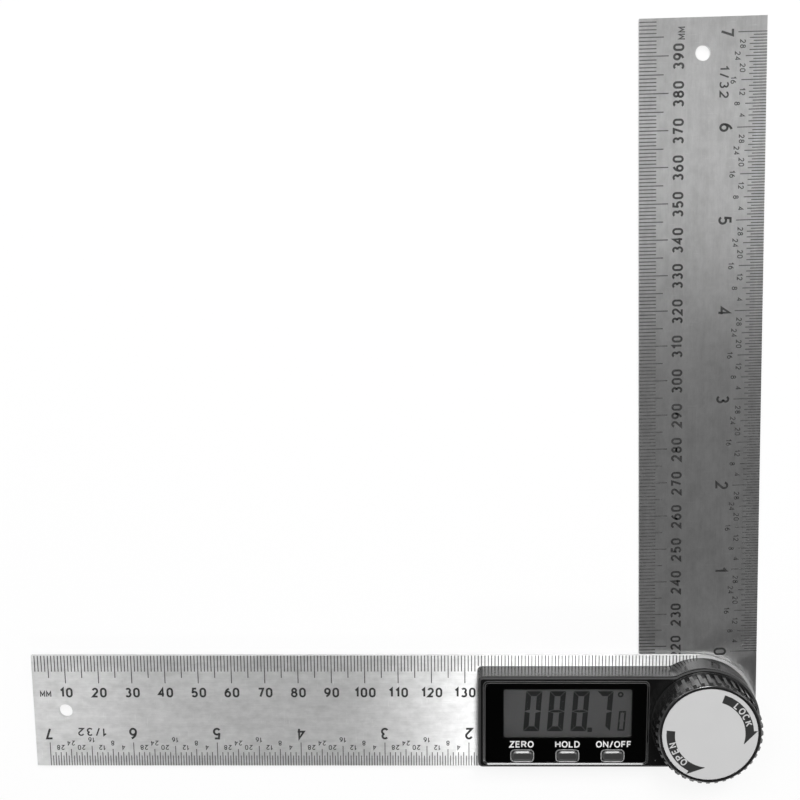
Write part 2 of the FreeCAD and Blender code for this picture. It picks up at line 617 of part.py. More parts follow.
def zebra_strip():
    """Rubber contact strip that stands between the board and the front plate's ledge."""
    x0, x1, y0, y1 = front_glass_edges()
    return slab(x0 + VIEW_BORDER, x1 - VIEW_BORDER, y0 + PLAY, y0 + min(ZEBRA_WIDTH, LEDGE - PLAY),
                BOARD_TOP, FRONT_GLASS_FLOOR)


def lcd_backing_pad():
    """Foam pad that presses the display up against the roof."""
    return view_plate(0.0, BOARD_TOP, REAR_GLASS_FLOOR)


def circuit_board():
    """Board of the cavity's outline, notched round the screw posts, with the fixed ring round the hub."""
    inset = HOUSING_WALL + BOARD_EDGE + (BOARD_TOP - BASE_TOP) * DRAFT
    outline = Part.Face(housing_outline(inset, BOARD_FLOOR))
    board = outline.extrude(V(0, 0, BOARD_THICKNESS))
    board = board.cut(disc(BOARD_HOLE, BOARD_FLOOR, BOARD_TOP))
    for x, y in POST_PLACES:
        board = board.cut(disc(POST_RADIUS + PLAY, BOARD_FLOOR, BOARD_TOP, x, y))
    for x, y in BOARD_POST_PLACES:
        board = board.cut(disc(BOARD_SCREW_RADIUS + PLAY, BOARD_FLOOR, BOARD_TOP, x, y))
    return board


def board_screws():
    """Four small pan-head screws from under the board into its posts."""
    head_floor = BOARD_FLOOR - BOARD_SCREW_HEAD_HEIGHT
    reach = BOARD_SCREW_HEAD_RADIUS
    half = SLOT_WIDTH / 2
    screws = []
    for x, y in BOARD_POST_PLACES:
        head = disc(BOARD_SCREW_HEAD_RADIUS, head_floor, BOARD_FLOOR, x, y)
        shank = disc(BOARD_SCREW_RADIUS, BOARD_FLOOR, ROOF_FLOOR - 2 * PLAY, x, y)
        slot = slab(x - reach, x + reach, y - half, y + half, head_floor, head_floor + SLOT_DEPTH)
        screws.append(fused([head, shank]).cut(slot))
    return Part.makeCompound(screws)


def board_chips():
    """Controller, crystal and three capacitors on the board's underside, by the housing's end."""
    x = -HOUSING_REACH + CHIP_TO_END
    half = CHIP_SIZE / 2
    chips = [slab(x - half, x + half, -half, half, BOARD_FLOOR - CHIP_HEIGHT, BOARD_FLOOR)]
    crystal_y = half + CHIP_SPACING + CRYSTAL_WIDTH / 2
    chips.append(rounded_plate(x, crystal_y, CHIP_SIZE, CRYSTAL_WIDTH, CRYSTAL_CORNER,
                               BOARD_FLOOR - CHIP_HEIGHT, BOARD_FLOOR))
    row_y = -half - CHIP_SPACING
    for i in (-1, 0, 1):
        left = x + i * CAPACITOR_PITCH - CAPACITOR_WIDTH / 2
        chips.append(slab(left, left + CAPACITOR_WIDTH, row_y - CAPACITOR_LENGTH, row_y,
                          BOARD_FLOOR - CAPACITOR_HEIGHT, BOARD_FLOOR))
    return Part.makeCompound(chips)


def key(place):
    """Key with a crowned top, a lip that holds it under the roof and a stem that meets its dome."""
    lip = key_plate(place, KEY_LIP, KEY_LIP_TOP - KEY_LIP_THICKNESS, KEY_LIP_TOP)
    cap = key_plate(place, 0.0, KEY_LIP_TOP, KEY_TOP)
    rim = [e for e in cap.Edges if e.BoundBox.ZMin > KEY_TOP - 1e-6]
    cap = cap.makeFillet(KEY_CROWN, rim)
    stem = disc(KEY_STEM_RADIUS, DOME_TOP + SLIP, KEY_LIP_TOP - KEY_LIP_THICKNESS, place[0], place[1])
    return fused([lip, cap, stem])


def dome(place):
    """Snap dome on the board under a key."""
    radius = (DOME_RADIUS ** 2 + DOME_HEIGHT ** 2) / (2 * DOME_HEIGHT)
    ball = Part.makeSphere(radius, V(place[0], place[1], DOME_TOP - radius))
    return ball.common(disc(DOME_RADIUS + 1, BOARD_TOP, DOME_TOP + 1, place[0], place[1]))


# The lock

def disc_spring():
    """Coned spring washer in the roof's recess, flattened by the lock."""
    inner = COLLAR_BORE
    outer = THRUST_RADIUS - PLAY
    top = THRUST_FLOOR - SLIP
    return turned([(outer - SPRING_THICKNESS, SPRING_SEAT), (outer, SPRING_SEAT),
                   (outer, SPRING_SEAT + SPRING_THICKNESS), (inner + SPRING_THICKNESS, top),
                   (inner, top), (inner, top - SPRING_THICKNESS)])


def thrust_washer():
    """Hard washer between the spring and the knob."""
    return ring(COLLAR_BORE, THRUST_RADIUS, THRUST_FLOOR, THRUST_TOP)


def knob_stud():
    """Grooved metal insert, moulded into the knob, with the threaded stud under it."""
    top = THRUST_TOP + INSERT_HEIGHT
    waist = THRUST_TOP + INSERT_WAIST
    tip = SWING_TOP + HUB_FLOOR + STUD_BOTTOM_SPACE
    bottom_of_groove = INSERT_RADIUS - INSERT_GROOVE
    return turned([(0, tip), (STUD_RADIUS, tip), (STUD_RADIUS, THRUST_TOP), (INSERT_RADIUS, THRUST_TOP),
                   (INSERT_RADIUS, waist - INSERT_GROOVE), (bottom_of_groove, waist - INSERT_GROOVE / 2),
                   (bottom_of_groove, waist + INSERT_GROOVE / 2), (INSERT_RADIUS, waist + INSERT_GROOVE),
                   (INSERT_RADIUS, top), (0, top)])


def knob_rib():
    """One upright rib of the knob's grip, on the +X side, with a sloped upper end."""
    foot = KNOB_RADIUS + KNOB_RIB_HEIGHT
    low = KNOB_FLOOR + KNOB_FLANGE_HEIGHT / 2
    high = KNOB_TOP - KNOB_RIB_TOP
    root = KNOB_RADIUS - KNOB_TAPER - KNOB_WALL / 2
    side = [V(root, 0, low), V(foot, 0, low), V(foot - KNOB_TAPER, 0, high - KNOB_RIB_HEIGHT),
            V(foot - KNOB_TAPER - KNOB_RIB_HEIGHT, 0, high), V(root, 0, high)]
    rib = Part.Face(Part.makePolygon(side + side[:1])).extrude(V(0, KNOB_RIB_WIDTH, 0))
    rib.translate(V(0, -KNOB_RIB_WIDTH / 2, 0))
    return rib


def knob_cap():
    """Moulded grip: a ribbed skirt on a flange, hollow and webbed below, with a recess for the label."""
    upper = KNOB_RADIUS - KNOB_TAPER
    flange = KNOB_RADIUS + KNOB_FLANGE
    flange_top = KNOB_FLOOR + KNOB_FLANGE_HEIGHT
    body = turned([(0, KNOB_FLOOR), (flange, KNOB_FLOOR), (flange, flange_top), (KNOB_RADIUS, flange_top),
                   (upper, KNOB_TOP), (0, KNOB_TOP)])
    body = body.makeFillet(KNOB_TOP_ROUND, [e for e in body.Edges if e.BoundBox.ZMin > KNOB_TOP - 1e-6])
    body = body.multiFuse(copies_round(knob_rib(), KNOB_RIB_COUNT))
    hollow = ring(KNOB_HUB_RADIUS, upper - KNOB_WALL, KNOB_FLOOR, LABEL_FLOOR - KNOB_ROOF)
    web = slab(0, upper, -KNOB_WEB_THICKNESS / 2, KNOB_WEB_THICKNESS / 2, flange_top, KNOB_TOP)
    for divider in copies_round(web, KNOB_WEB_COUNT):
        hollow = hollow.cut(divider)
    for cutter in (hollow, disc(THRUST_RADIUS + 2 * PLAY, KNOB_FLOOR, THRUST_TOP),
                   disc(LABEL_RADIUS + PLAY, LABEL_FLOOR, KNOB_TOP), knob_stud()):
        body = body.cut(cutter)
    return body.removeSplitter()


def knob_label():
    """Printed aluminium disc, sunk in the knob's top."""
    return disc(LABEL_RADIUS, LABEL_FLOOR, LABEL_FLOOR + LABEL_THICKNESS)


def pieces():
    """Every piece of the instrument, by name."""
    made = {
        "base_ruler": base_ruler(), "swing_ruler": swing_ruler(), "friction_washer": friction_washer(),
        "pivot_hub": pivot_hub(), "hub_screws": hub_screws(), "pivot_bush": pivot_bush(),
        "encoder_rotor": encoder_rotor(), "rotor_retainer": rotor_retainer(),
        "battery": battery(), "battery_cup": battery_cup(), "positive_contact": positive_contact(),
        "negative_contact": negative_contact(), "battery_door": battery_door(), "door_seal": door_seal(),
        "housing": housing(), "housing_screws": housing_screws(), "display_window": display_window(),
        "window_adhesive": window_adhesive(), "lcd_panel": lcd_panel(), "zebra_strip": zebra_strip(),
        "lcd_backing_pad": lcd_backing_pad(), "circuit_board": circuit_board(),
        "board_screws": board_screws(), "board_chips": board_chips(),
        "disc_spring": disc_spring(), "thrust_washer": thrust_washer(),
        "knob_cap": knob_cap(), "knob_stud": knob_stud(), "knob_label": knob_label(),
    }
    for name, place in zip(("zero", "hold", "power"), KEY_PLACES):
        made[name + "_key"] = key(place)
        made[name + "_dome"] = dome(place)
    return made


def main():
    """Writes one STEP file for each piece."""
    os.makedirs("parts", exist_ok=True)
    for name, shape in pieces().items():
        shape.exportStep("parts/" + name + ".step")
        box = shape.BoundBox
        print("%-18s solids %2d valid %s volume %9.1f  z %6.2f to %6.2f"
              % (name, len(shape.Solids), shape.isValid(), shape.Volume, box.ZMin, box.ZMax))


main()
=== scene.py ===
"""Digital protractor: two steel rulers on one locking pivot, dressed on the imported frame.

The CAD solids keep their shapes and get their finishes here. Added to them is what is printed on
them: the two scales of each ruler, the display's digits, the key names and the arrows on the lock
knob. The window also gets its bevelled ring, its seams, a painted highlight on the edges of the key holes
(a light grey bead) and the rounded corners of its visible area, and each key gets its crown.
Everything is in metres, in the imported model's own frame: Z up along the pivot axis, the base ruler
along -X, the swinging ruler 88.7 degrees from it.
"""

import json
import logging
import math
from dataclasses import dataclass, field
from enum import Enum
from typing import Iterable, Sequence

import bmesh
import bpy
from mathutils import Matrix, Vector

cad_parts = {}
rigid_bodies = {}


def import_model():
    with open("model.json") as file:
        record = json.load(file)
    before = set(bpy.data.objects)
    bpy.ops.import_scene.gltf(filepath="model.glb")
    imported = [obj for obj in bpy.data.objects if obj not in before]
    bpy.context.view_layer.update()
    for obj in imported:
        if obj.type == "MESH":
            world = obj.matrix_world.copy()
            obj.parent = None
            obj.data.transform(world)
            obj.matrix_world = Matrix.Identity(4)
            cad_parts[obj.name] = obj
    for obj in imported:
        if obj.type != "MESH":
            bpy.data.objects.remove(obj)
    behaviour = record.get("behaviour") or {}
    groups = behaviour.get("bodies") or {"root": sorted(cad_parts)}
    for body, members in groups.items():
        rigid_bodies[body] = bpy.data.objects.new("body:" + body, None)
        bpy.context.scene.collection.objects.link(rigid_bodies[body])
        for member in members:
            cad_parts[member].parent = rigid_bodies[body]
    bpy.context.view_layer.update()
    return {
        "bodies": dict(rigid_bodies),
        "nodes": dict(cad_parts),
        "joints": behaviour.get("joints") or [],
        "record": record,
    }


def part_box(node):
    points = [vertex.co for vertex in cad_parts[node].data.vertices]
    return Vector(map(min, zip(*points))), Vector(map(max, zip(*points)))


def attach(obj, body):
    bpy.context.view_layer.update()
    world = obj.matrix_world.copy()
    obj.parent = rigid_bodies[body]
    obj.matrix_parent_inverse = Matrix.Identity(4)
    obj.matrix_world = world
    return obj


MM = 0.001
INCH = 25.4 * MM
SHOWN_ANGLE = 88.7

Point = tuple[float, float]
Pair = tuple[Point, Point]
Colour = tuple[float, float, float, float]

log = logging.getLogger("protractor")


def grey(level: float) -> Colour:
    """A neutral colour of one linear level."""
    return (level, level, level, 1.0)


# Shader building


class ShaderBench:
    """One material's node tree, with short calls for the nodes that the finishes use."""

    def __init__(self, name: str) -> None:
        """Starts a material that holds one Principled shader.

        Args:
            name: The material's name.
        """
        self.material = bpy.data.materials.new(name)
        self.material.use_nodes = True
        self.tree = self.material.node_tree
        self.surface = self.tree.nodes["Principled BSDF"]

    def node(self, kind: str) -> bpy.types.Node:
        """A new node of that kind."""
        return self.tree.nodes.new(kind)

    def link(self, source: bpy.types.NodeSocket, target: bpy.types.NodeSocket) -> None:
        """Joins an output to an input."""
        self.tree.links.new(source, target)

    def set(self, **values: object) -> None:
        """Writes constants on the Principled shader's own sockets.

        Args:
            values: Socket names with underscores for spaces, and their values.
        """
        for key, value in values.items():
            self.surface.inputs[key.replace("_", " ")].default_value = value

    def place(self, stretch: Sequence[float] = (1.0, 1.0, 1.0), turn: float = 0.0) -> bpy.types.NodeSocket:
        """Object coordinates, turned about Z and then stretched.

        Args:
            stretch: Factor on each axis, so that a large factor makes a pattern fine along it.
            turn: Angle about Z, in radians.

        Returns:
            The vector socket.
        """
        coordinates = self.node("ShaderNodeTexCoord")
        turned = self.node("ShaderNodeMapping")
        turned.inputs["Rotation"].default_value[2] = -turn
        self.link(coordinates.outputs["Object"], turned.inputs["Vector"])
        stretched = self.node("ShaderNodeMapping")
        stretched.inputs["Scale"].default_value = stretch
        self.link(turned.outputs["Vector"], stretched.inputs["Vector"])
        return stretched.outputs["Vector"]

    def noise(self, place: bpy.types.NodeSocket, scale: float, detail: float = 2.0,
              rough: float = 0.5) -> bpy.types.NodeSocket:
        """Noise between 0 and 1.

        Args:
            place: Vector to sample at.
            scale: Cells for each metre.
            detail: Octaves.
            rough: Weight of the finer octaves.

        Returns:
            The value socket.
        """
        texture = self.node("ShaderNodeTexNoise")
        texture.inputs["Scale"].default_value = scale
        texture.inputs["Detail"].default_value = detail
        texture.inputs["Roughness"].default_value = rough
        self.link(place, texture.inputs["Vector"])
        return texture.outputs["Fac"]

    def rings(self, place: bpy.types.NodeSocket, scale: float, wobble: float = 1.0) -> bpy.types.NodeSocket:
        """Rings about the Z axis, such as a lathe leaves.

        Args:
            place: Vector to sample at.
            scale: Rings for each metre, roughly.
            wobble: How much they waver.

        Returns:
            The value socket.
        """
        texture = self.node("ShaderNodeTexWave")
        texture.wave_type = "RINGS"
        texture.rings_direction = "Z"
        texture.inputs["Scale"].default_value = scale
        texture.inputs["Distortion"].default_value = wobble
        self.link(place, texture.inputs["Vector"])
        return texture.outputs["Fac"]

    def specks(self, place: bpy.types.NodeSocket, scale: float, size: float) -> bpy.types.NodeSocket:
        """Sparse specks, 1 inside a speck and 0 outside.

        Args:
            place: Vector to sample at.
            scale: Cells for each metre.
            size: Radius of a speck as a share of a cell.

        Returns:
            The value socket.
        """
        texture = self.node("ShaderNodeTexVoronoi")
        texture.inputs["Scale"].default_value = scale
        self.link(place, texture.inputs["Vector"])
        return self.levels(texture.outputs["Distance"], size, size * 0.5, 0.0, 1.0)

    def levels(self, value: bpy.types.NodeSocket, low_in: float, high_in: float, low: float,
               high: float) -> bpy.types.NodeSocket:
        """A value mapped from one span to another, and clamped.

        Args:
            value: Value to map.
            low_in: Start of the span read.
            high_in: End of the span read.
            low: Result at the start.
            high: Result at the end.

        Returns:
            The value socket.
        """
        mapped = self.node("ShaderNodeMapRange")
        mapped.inputs["From Min"].default_value = low_in
        mapped.inputs["From Max"].default_value = high_in
        mapped.inputs["To Min"].default_value = low
        mapped.inputs["To Max"].default_value = high
        self.link(value, mapped.inputs["Value"])
        return mapped.outputs["Result"]

    def maths(self, operation: str, first: bpy.types.NodeSocket,
              second: bpy.types.NodeSocket | float) -> bpy.types.NodeSocket:
        """A sum, product or other operation on two values.

        Args:
            operation: Name of the operation, as the Math node has it.
            first: First value.
            second: Second value, a socket or a number.

        Returns:
            The value socket.
        """
        worked = self.node("ShaderNodeMath")
        worked.operation = operation
        self.link(first, worked.inputs[0])
        if isinstance(second, (int, float)):
            worked.inputs[1].default_value = second
        else:
            self.link(second, worked.inputs[1])
        return worked.outputs["Value"]

    def between(self, factor: bpy.types.NodeSocket, low: Colour, high: Colour) -> bpy.types.NodeSocket:
        """A colour between two, by a factor.

        Args:
            factor: 0 gives low and 1 gives high.
            low: First colour.
            high: Second colour.

        Returns:
            The colour socket.
        """
        ramp = self.node("ShaderNodeValToRGB")
        ramp.color_ramp.elements[0].color = low
        ramp.color_ramp.elements[1].color = high
        self.link(factor, ramp.inputs["Fac"])
        return ramp.outputs["Color"]

    def colour(self, factor: bpy.types.NodeSocket, low: Colour, high: Colour) -> None:
        """Drives the base colour between two colours by a factor."""
        self.link(self.between(factor, low, high), self.surface.inputs["Base Color"])

    def roughness(self, factor: bpy.types.NodeSocket, low: float, high: float) -> None:
        """Drives the roughness between two values by a factor."""
        self.link(self.levels(factor, 0.0, 1.0, low, high), self.surface.inputs["Roughness"])

    def bump(self, height: bpy.types.NodeSocket, depth: float, strength: float = 1.0) -> None:
        """Raises the surface's normal by a height.

        Args:
            height: Height between 0 and 1.
            depth: What a height of 1 stands for, in metres.
            strength: Share of the effect.
        """
        relief = self.node("ShaderNodeBump")
        relief.inputs["Strength"].default_value = strength
        relief.inputs["Distance"].default_value = depth
        self.link(height, relief.inputs["Height"])
        self.link(relief.outputs["Normal"], self.surface.inputs["Normal"])

    def grain_direction(self, direction: Sequence[float]) -> None:
        """Spreads the gloss along one direction of the piece, which turns with it.

        Args:
            direction: The direction across the grain, in the piece's own space.
        """
        turned = self.node("ShaderNodeVectorTransform")
        turned.vector_type = "VECTOR"
        turned.convert_from = "OBJECT"
        turned.convert_to = "WORLD"
        turned.inputs["Vector"].default_value = direction
        self.link(turned.outputs["Vector"], self.surface.inputs["Tangent"])


# Finishes


@dataclass(frozen=True)
class Finish:
    """A finish that makes one material, under the name of what it covers."""

    def material(self, name: str) -> bpy.types.Material:
        """The finish as a material."""
        raise NotImplementedError


@dataclass(frozen=True)
class BrushedSteel(Finish):
    """Stainless strip, brushed along its length, with cloudy wipe marks and fine scratches."""

    along: Point = (-1.0, 0.0)
    dark: float = 0.52
    light: float = 0.8
    base_roughness: float = 0.45
    spread: float = 1.0
    grain_length: float = 260.0
    grain_width: float = 9000.0
    relief: float = 0.000004

    def material(self, name: str) -> bpy.types.Material:
        """The steel, with its grain along the strip.

        Args:
            name: The material's name.

        Returns:
            The material.
        """
        bench = ShaderBench(name)
        turn = math.atan2(self.along[1], self.along[0])
        stretch = (self.grain_length / self.grain_width, 1.0, 1.0)
        grain = bench.noise(bench.place(stretch, turn), self.grain_width, 3.0, 0.65)
        streaks = bench.noise(bench.place((0.05, 1.0, 1.0), turn), 700.0, 4.0, 0.6)
        clouds = bench.noise(bench.place((0.55, 1.0, 1.0), turn), 85.0, 4.0, 0.55)
        smudges = bench.noise(bench.place((0.7, 1.0, 1.0), turn), 420.0, 4.0, 0.65)
        nicks = bench.noise(bench.place((1.0, 0.07, 1.0), turn), 2600.0, 2.0, 0.5)
        total = bench.levels(grain, 0.3, 0.7, 0.0, 0.25)
        for part, low, high, weight in ((streaks, 0.35, 0.65, 0.15), (clouds, 0.35, 0.7, 0.25),
                                        (smudges, 0.35, 0.65, 0.35), (nicks, 0.66, 0.76, 0.35)):
            total = bench.maths("ADD", total, bench.levels(part, low, high, 0.0, weight))
        bench.set(Metallic=1.0, Anisotropic=self.spread)
        bench.colour(total, grey(self.dark), grey(self.light))
        bench.roughness(clouds, self.base_roughness - 0.03, self.base_roughness + 0.03)
        bench.bump(grain, self.relief, 0.6)
        bench.grain_direction((-self.along[1], self.along[0], 0.0))
        return bench.material


@dataclass(frozen=True)
class TurnedMetal(Finish):
    """Metal with the fine rings that a lathe leaves."""

    colour: Colour = (0.56, 0.56, 0.565, 1.0)
    base_roughness: float = 0.28
    pitch: float = 2600.0
    axis: Point = (0.0, 0.0)

    def material(self, name: str) -> bpy.types.Material:
        """The turned metal.

        Args:
            name: The material's name.

        Returns:
            The material.
        """
        bench = ShaderBench(name)
        coordinates = bench.node("ShaderNodeTexCoord")
        centred = bench.node("ShaderNodeMapping")
        centred.inputs["Location"].default_value = (-self.axis[0], -self.axis[1], 0.0)
        bench.link(coordinates.outputs["Object"], centred.inputs["Vector"])
        rings = bench.rings(centred.outputs["Vector"], self.pitch, 0.6)
        stain = bench.noise(bench.place(), 240.0, 3.0)
        both = bench.maths("MULTIPLY", rings, stain)
        dark = tuple(0.72 * c for c in self.colour[:3]) + (1.0,)
        bench.set(Metallic=1.0)
        bench.colour(both, dark, self.colour)
        bench.roughness(stain, self.base_roughness - 0.06, self.base_roughness + 0.08)
        bench.bump(rings, 0.000003, 0.5)
        return bench.material


@dataclass(frozen=True)
class PlatedMetal(Finish):
    """Small bright plated or rolled parts, with faint handling marks."""

    colour: Colour = (0.6, 0.6, 0.61, 1.0)
    base_roughness: float = 0.24
    mark_scale: float = 900.0

    def material(self, name: str) -> bpy.types.Material:
        """The plated metal.

        Args:
            name: The material's name.

        Returns:
            The material.
        """
        bench = ShaderBench(name)
        marks = bench.noise(bench.place(), self.mark_scale, 5.0, 0.6)
        dark = tuple(0.8 * c for c in self.colour[:3]) + (1.0,)
        bench.set(Metallic=1.0)
        bench.colour(marks, dark, self.colour)
        bench.roughness(marks, self.base_roughness - 0.08, self.base_roughness + 0.1)
        bench.bump(marks, 0.000004, 0.4)
        return bench.material


@dataclass(frozen=True)
class MouldedPlastic(Finish):
    """Injection moulded plastic: an even body colour, a fine texture from the tool and a little dust.

    It can be much rougher between two heights, where a rounded edge runs, and a little rougher
    under them.
    """

    level: float = 0.012
    gloss: float = 0.2
    texture: float = 2600.0
    relief: float = 0.000002
    dust: float = 0.0
    tint: tuple[float, float, float] = (1.0, 1.0, 1.0)
    refraction: float = 1.5
    matte_edge: Point | None = None
    matte_gain: float = 0.5
    wall_gain: float = 0.05

    def shade(self, factor: float) -> Colour:
        """The body colour times a factor."""
        return tuple(self.level * factor * c for c in self.tint) + (1.0,)

    def material(self, name: str) -> bpy.types.Material:
        """The plastic.

        Args:
            name: The material's name.

        Returns:
            The material.
        """
        bench = ShaderBench(name)
        place = bench.place()
        flow = bench.noise(place, 60.0, 3.0)
        texture = bench.noise(place, self.texture, 2.0)
        bench.set(IOR=self.refraction)
        mix = bench.between(flow, self.shade(0.8), self.shade(1.25))
        if self.dust > 0.0:
            specks = bench.specks(place, 420.0, 0.16)
            chosen = bench.levels(bench.noise(place, 300.0, 1.0), 0.58, 0.62, 0.0, self.dust)
            amount = bench.maths("MULTIPLY", specks, chosen)
            layered = bench.node("ShaderNodeMix")
            layered.data_type = "RGBA"
            bench.link(amount, layered.inputs["Factor"])
            bench.link(mix, layered.inputs["A"])
            layered.inputs["B"].default_value = grey(0.45)
            mix = layered.outputs["Result"]
        bench.link(mix, bench.surface.inputs["Base Color"])
        gloss = bench.levels(flow, 0.0, 1.0, self.gloss * 0.85, self.gloss * 1.25)
        if self.matte_edge is not None:
            low, high = self.matte_edge
            parts = bench.node("ShaderNodeSeparateXYZ")
            bench.link(place, parts.inputs["Vector"])
            below = bench.levels(parts.outputs["Z"], high - 0.00004, high - 0.00001, 1.0, 0.0)
            above = bench.levels(parts.outputs["Z"], low, low + 0.00006, 0.0, 1.0)
            edge = bench.maths("MULTIPLY", below, above)
            gloss = bench.maths("ADD", gloss, bench.levels(below, 0.0, 1.0, 0.0, self.wall_gain))
            gloss = bench.maths("ADD", gloss, bench.levels(edge, 0.0, 1.0, 0.0, self.matte_gain))
        bench.link(gloss, bench.surface.inputs["Roughness"])
        bench.bump(texture, self.relief, 0.5)
        return bench.material


@dataclass(frozen=True)
class ClearSheet(Finish):
    """Clear moulded window with faint hairline wipe marks."""

    def material(self, name: str) -> bpy.types.Material:
        """The clear sheet.

        Args:
            name: The material's name.

        Returns:
            The material.
        """
        bench = ShaderBench(name)
        wipes = bench.noise(bench.place((0.2, 1.0, 1.0)), 900.0, 4.0)
        bench.set(Transmission_Weight=1.0, IOR=1.49)
        bench.colour(wipes, grey(0.97), grey(1.0))
        bench.roughness(wipes, 0.0, 0.03)
        return bench.material


@dataclass(frozen=True)
class DisplayGlass(Finish):
    """The display's plates as they look switched on: a grey field with a faint cloudy variation."""

    dark: float = 0.095
    light: float = 0.125

    def material(self, name: str) -> bpy.types.Material:
        """The display's field.

        Args:
            name: The material's name.

        Returns:
            The material.
        """
        bench = ShaderBench(name)
        place = bench.place()
        cloud = bench.noise(place, 55.0, 2.0)
        bench.colour(cloud, grey(self.dark), grey(self.light))
        bench.roughness(bench.noise(place, 1500.0, 2.0), 0.42, 0.55)
        return bench.material


@dataclass(frozen=True)
class PrintInk(Finish):
    """Ink or etched and filled marks, a little worn."""

    solid: float = 0.015
    worn: float = 0.05
    sheen: float = 0.5
    wear_scale: float = 260.0

    def material(self, name: str) -> bpy.types.Material:
        """The ink.

        Args:
            name: The material's name.

        Returns:
            The material.
        """
        bench = ShaderBench(name)
        place = bench.place()
        worn = bench.levels(bench.noise(place, self.wear_scale, 5.0, 0.7), 0.42, 0.72, 0.0, 1.0)
        bench.colour(worn, grey(self.solid), grey(self.worn))
        bench.roughness(bench.noise(place, 3000.0, 2.0), self.sheen - 0.08, self.sheen + 0.08)
        return bench.material


@dataclass(frozen=True)
class LabelFoil(Finish):
    """Painted aluminium disc with an even satin grey."""

    level: float = 0.54

    def material(self, name: str) -> bpy.types.Material:
        """The label's face.

        Args:
            name: The material's name.

        Returns:
            The material.
        """
        bench = ShaderBench(name)
        place = bench.place()
        cloud = bench.noise(place, 140.0, 3.0)
        bench.colour(cloud, grey(self.level * 0.97), grey(self.level * 1.03))
        bench.roughness(bench.noise(place, 2500.0, 2.0), 0.38, 0.5)
        bench.bump(bench.noise(place, 5000.0, 1.0), 0.000002, 0.3)
        return bench.material


@dataclass(frozen=True)
class BoardLaminate(Finish):
    """Green lacquered laminate with copper tracks showing through the lacquer."""

    def material(self, name: str) -> bpy.types.Material:
        """The laminate.

        Args:
            name: The material's name.

        Returns:
            The material.
        """
        bench = ShaderBench(name)
        place = bench.place()
        tracks = bench.node("ShaderNodeTexBrick")
        tracks.inputs["Scale"].default_value = 220.0
        tracks.inputs["Mortar Size"].default_value = 0.035
        tracks.inputs["Color1"].default_value = (0.012, 0.09, 0.035, 1.0)
        tracks.inputs["Color2"].default_value = (0.014, 0.105, 0.04, 1.0)
        tracks.inputs["Mortar"].default_value = (0.05, 0.2, 0.08, 1.0)
        bench.link(place, tracks.inputs["Vector"])
        bench.link(tracks.outputs["Color"], bench.surface.inputs["Base Color"])
        bench.roughness(bench.noise(place, 800.0, 3.0), 0.2, 0.34)
        bench.bump(tracks.outputs["Fac"], 0.00002, 0.5)
        return bench.material


# Flat marks


@dataclass(frozen=True)
class Placement:
    """A flat frame in the XY plane: where its middle is and which way is up in it."""

    middle: Point
    up: Point

    def at(self, x: float, y: float) -> Point:
        """The place of a point that lies x to the right and y up from the middle."""
        right = (self.up[1], -self.up[0])
        return (self.middle[0] + right[0] * x + self.up[0] * y,
                self.middle[1] + right[1] * x + self.up[1] * y)


def bow(x: float, y: float, width: float, height: float, start: float, end: float) -> list[Point]:
    """Points along an arc of an ellipse.

    Args:
        x: Centre.
        y: Centre.
        width: Half width.
        height: Half height.
        start: First angle, in degrees.
        end: Last angle, in degrees.

    Returns:
        The points, at most 15 degrees apart.
    """
    steps = max(2, math.ceil(abs(end - start) / 15.0))
    angles = [math.radians(start + (end - start) * i / steps) for i in range(steps + 1)]
    return [(x + width * math.cos(a), y + height * math.sin(a)) for a in angles]


@dataclass(frozen=True)
class Glyph:
    """A character as the middle lines of its strokes, one unit high."""

    width: float
    strokes: tuple[tuple[Point, ...], ...]


def glyph(width: float, *strokes: Iterable[Point]) -> Glyph:
    """A glyph from the point lists of its strokes. A stroke that ends where it starts is closed."""
    return Glyph(width, tuple(tuple(stroke) for stroke in strokes))


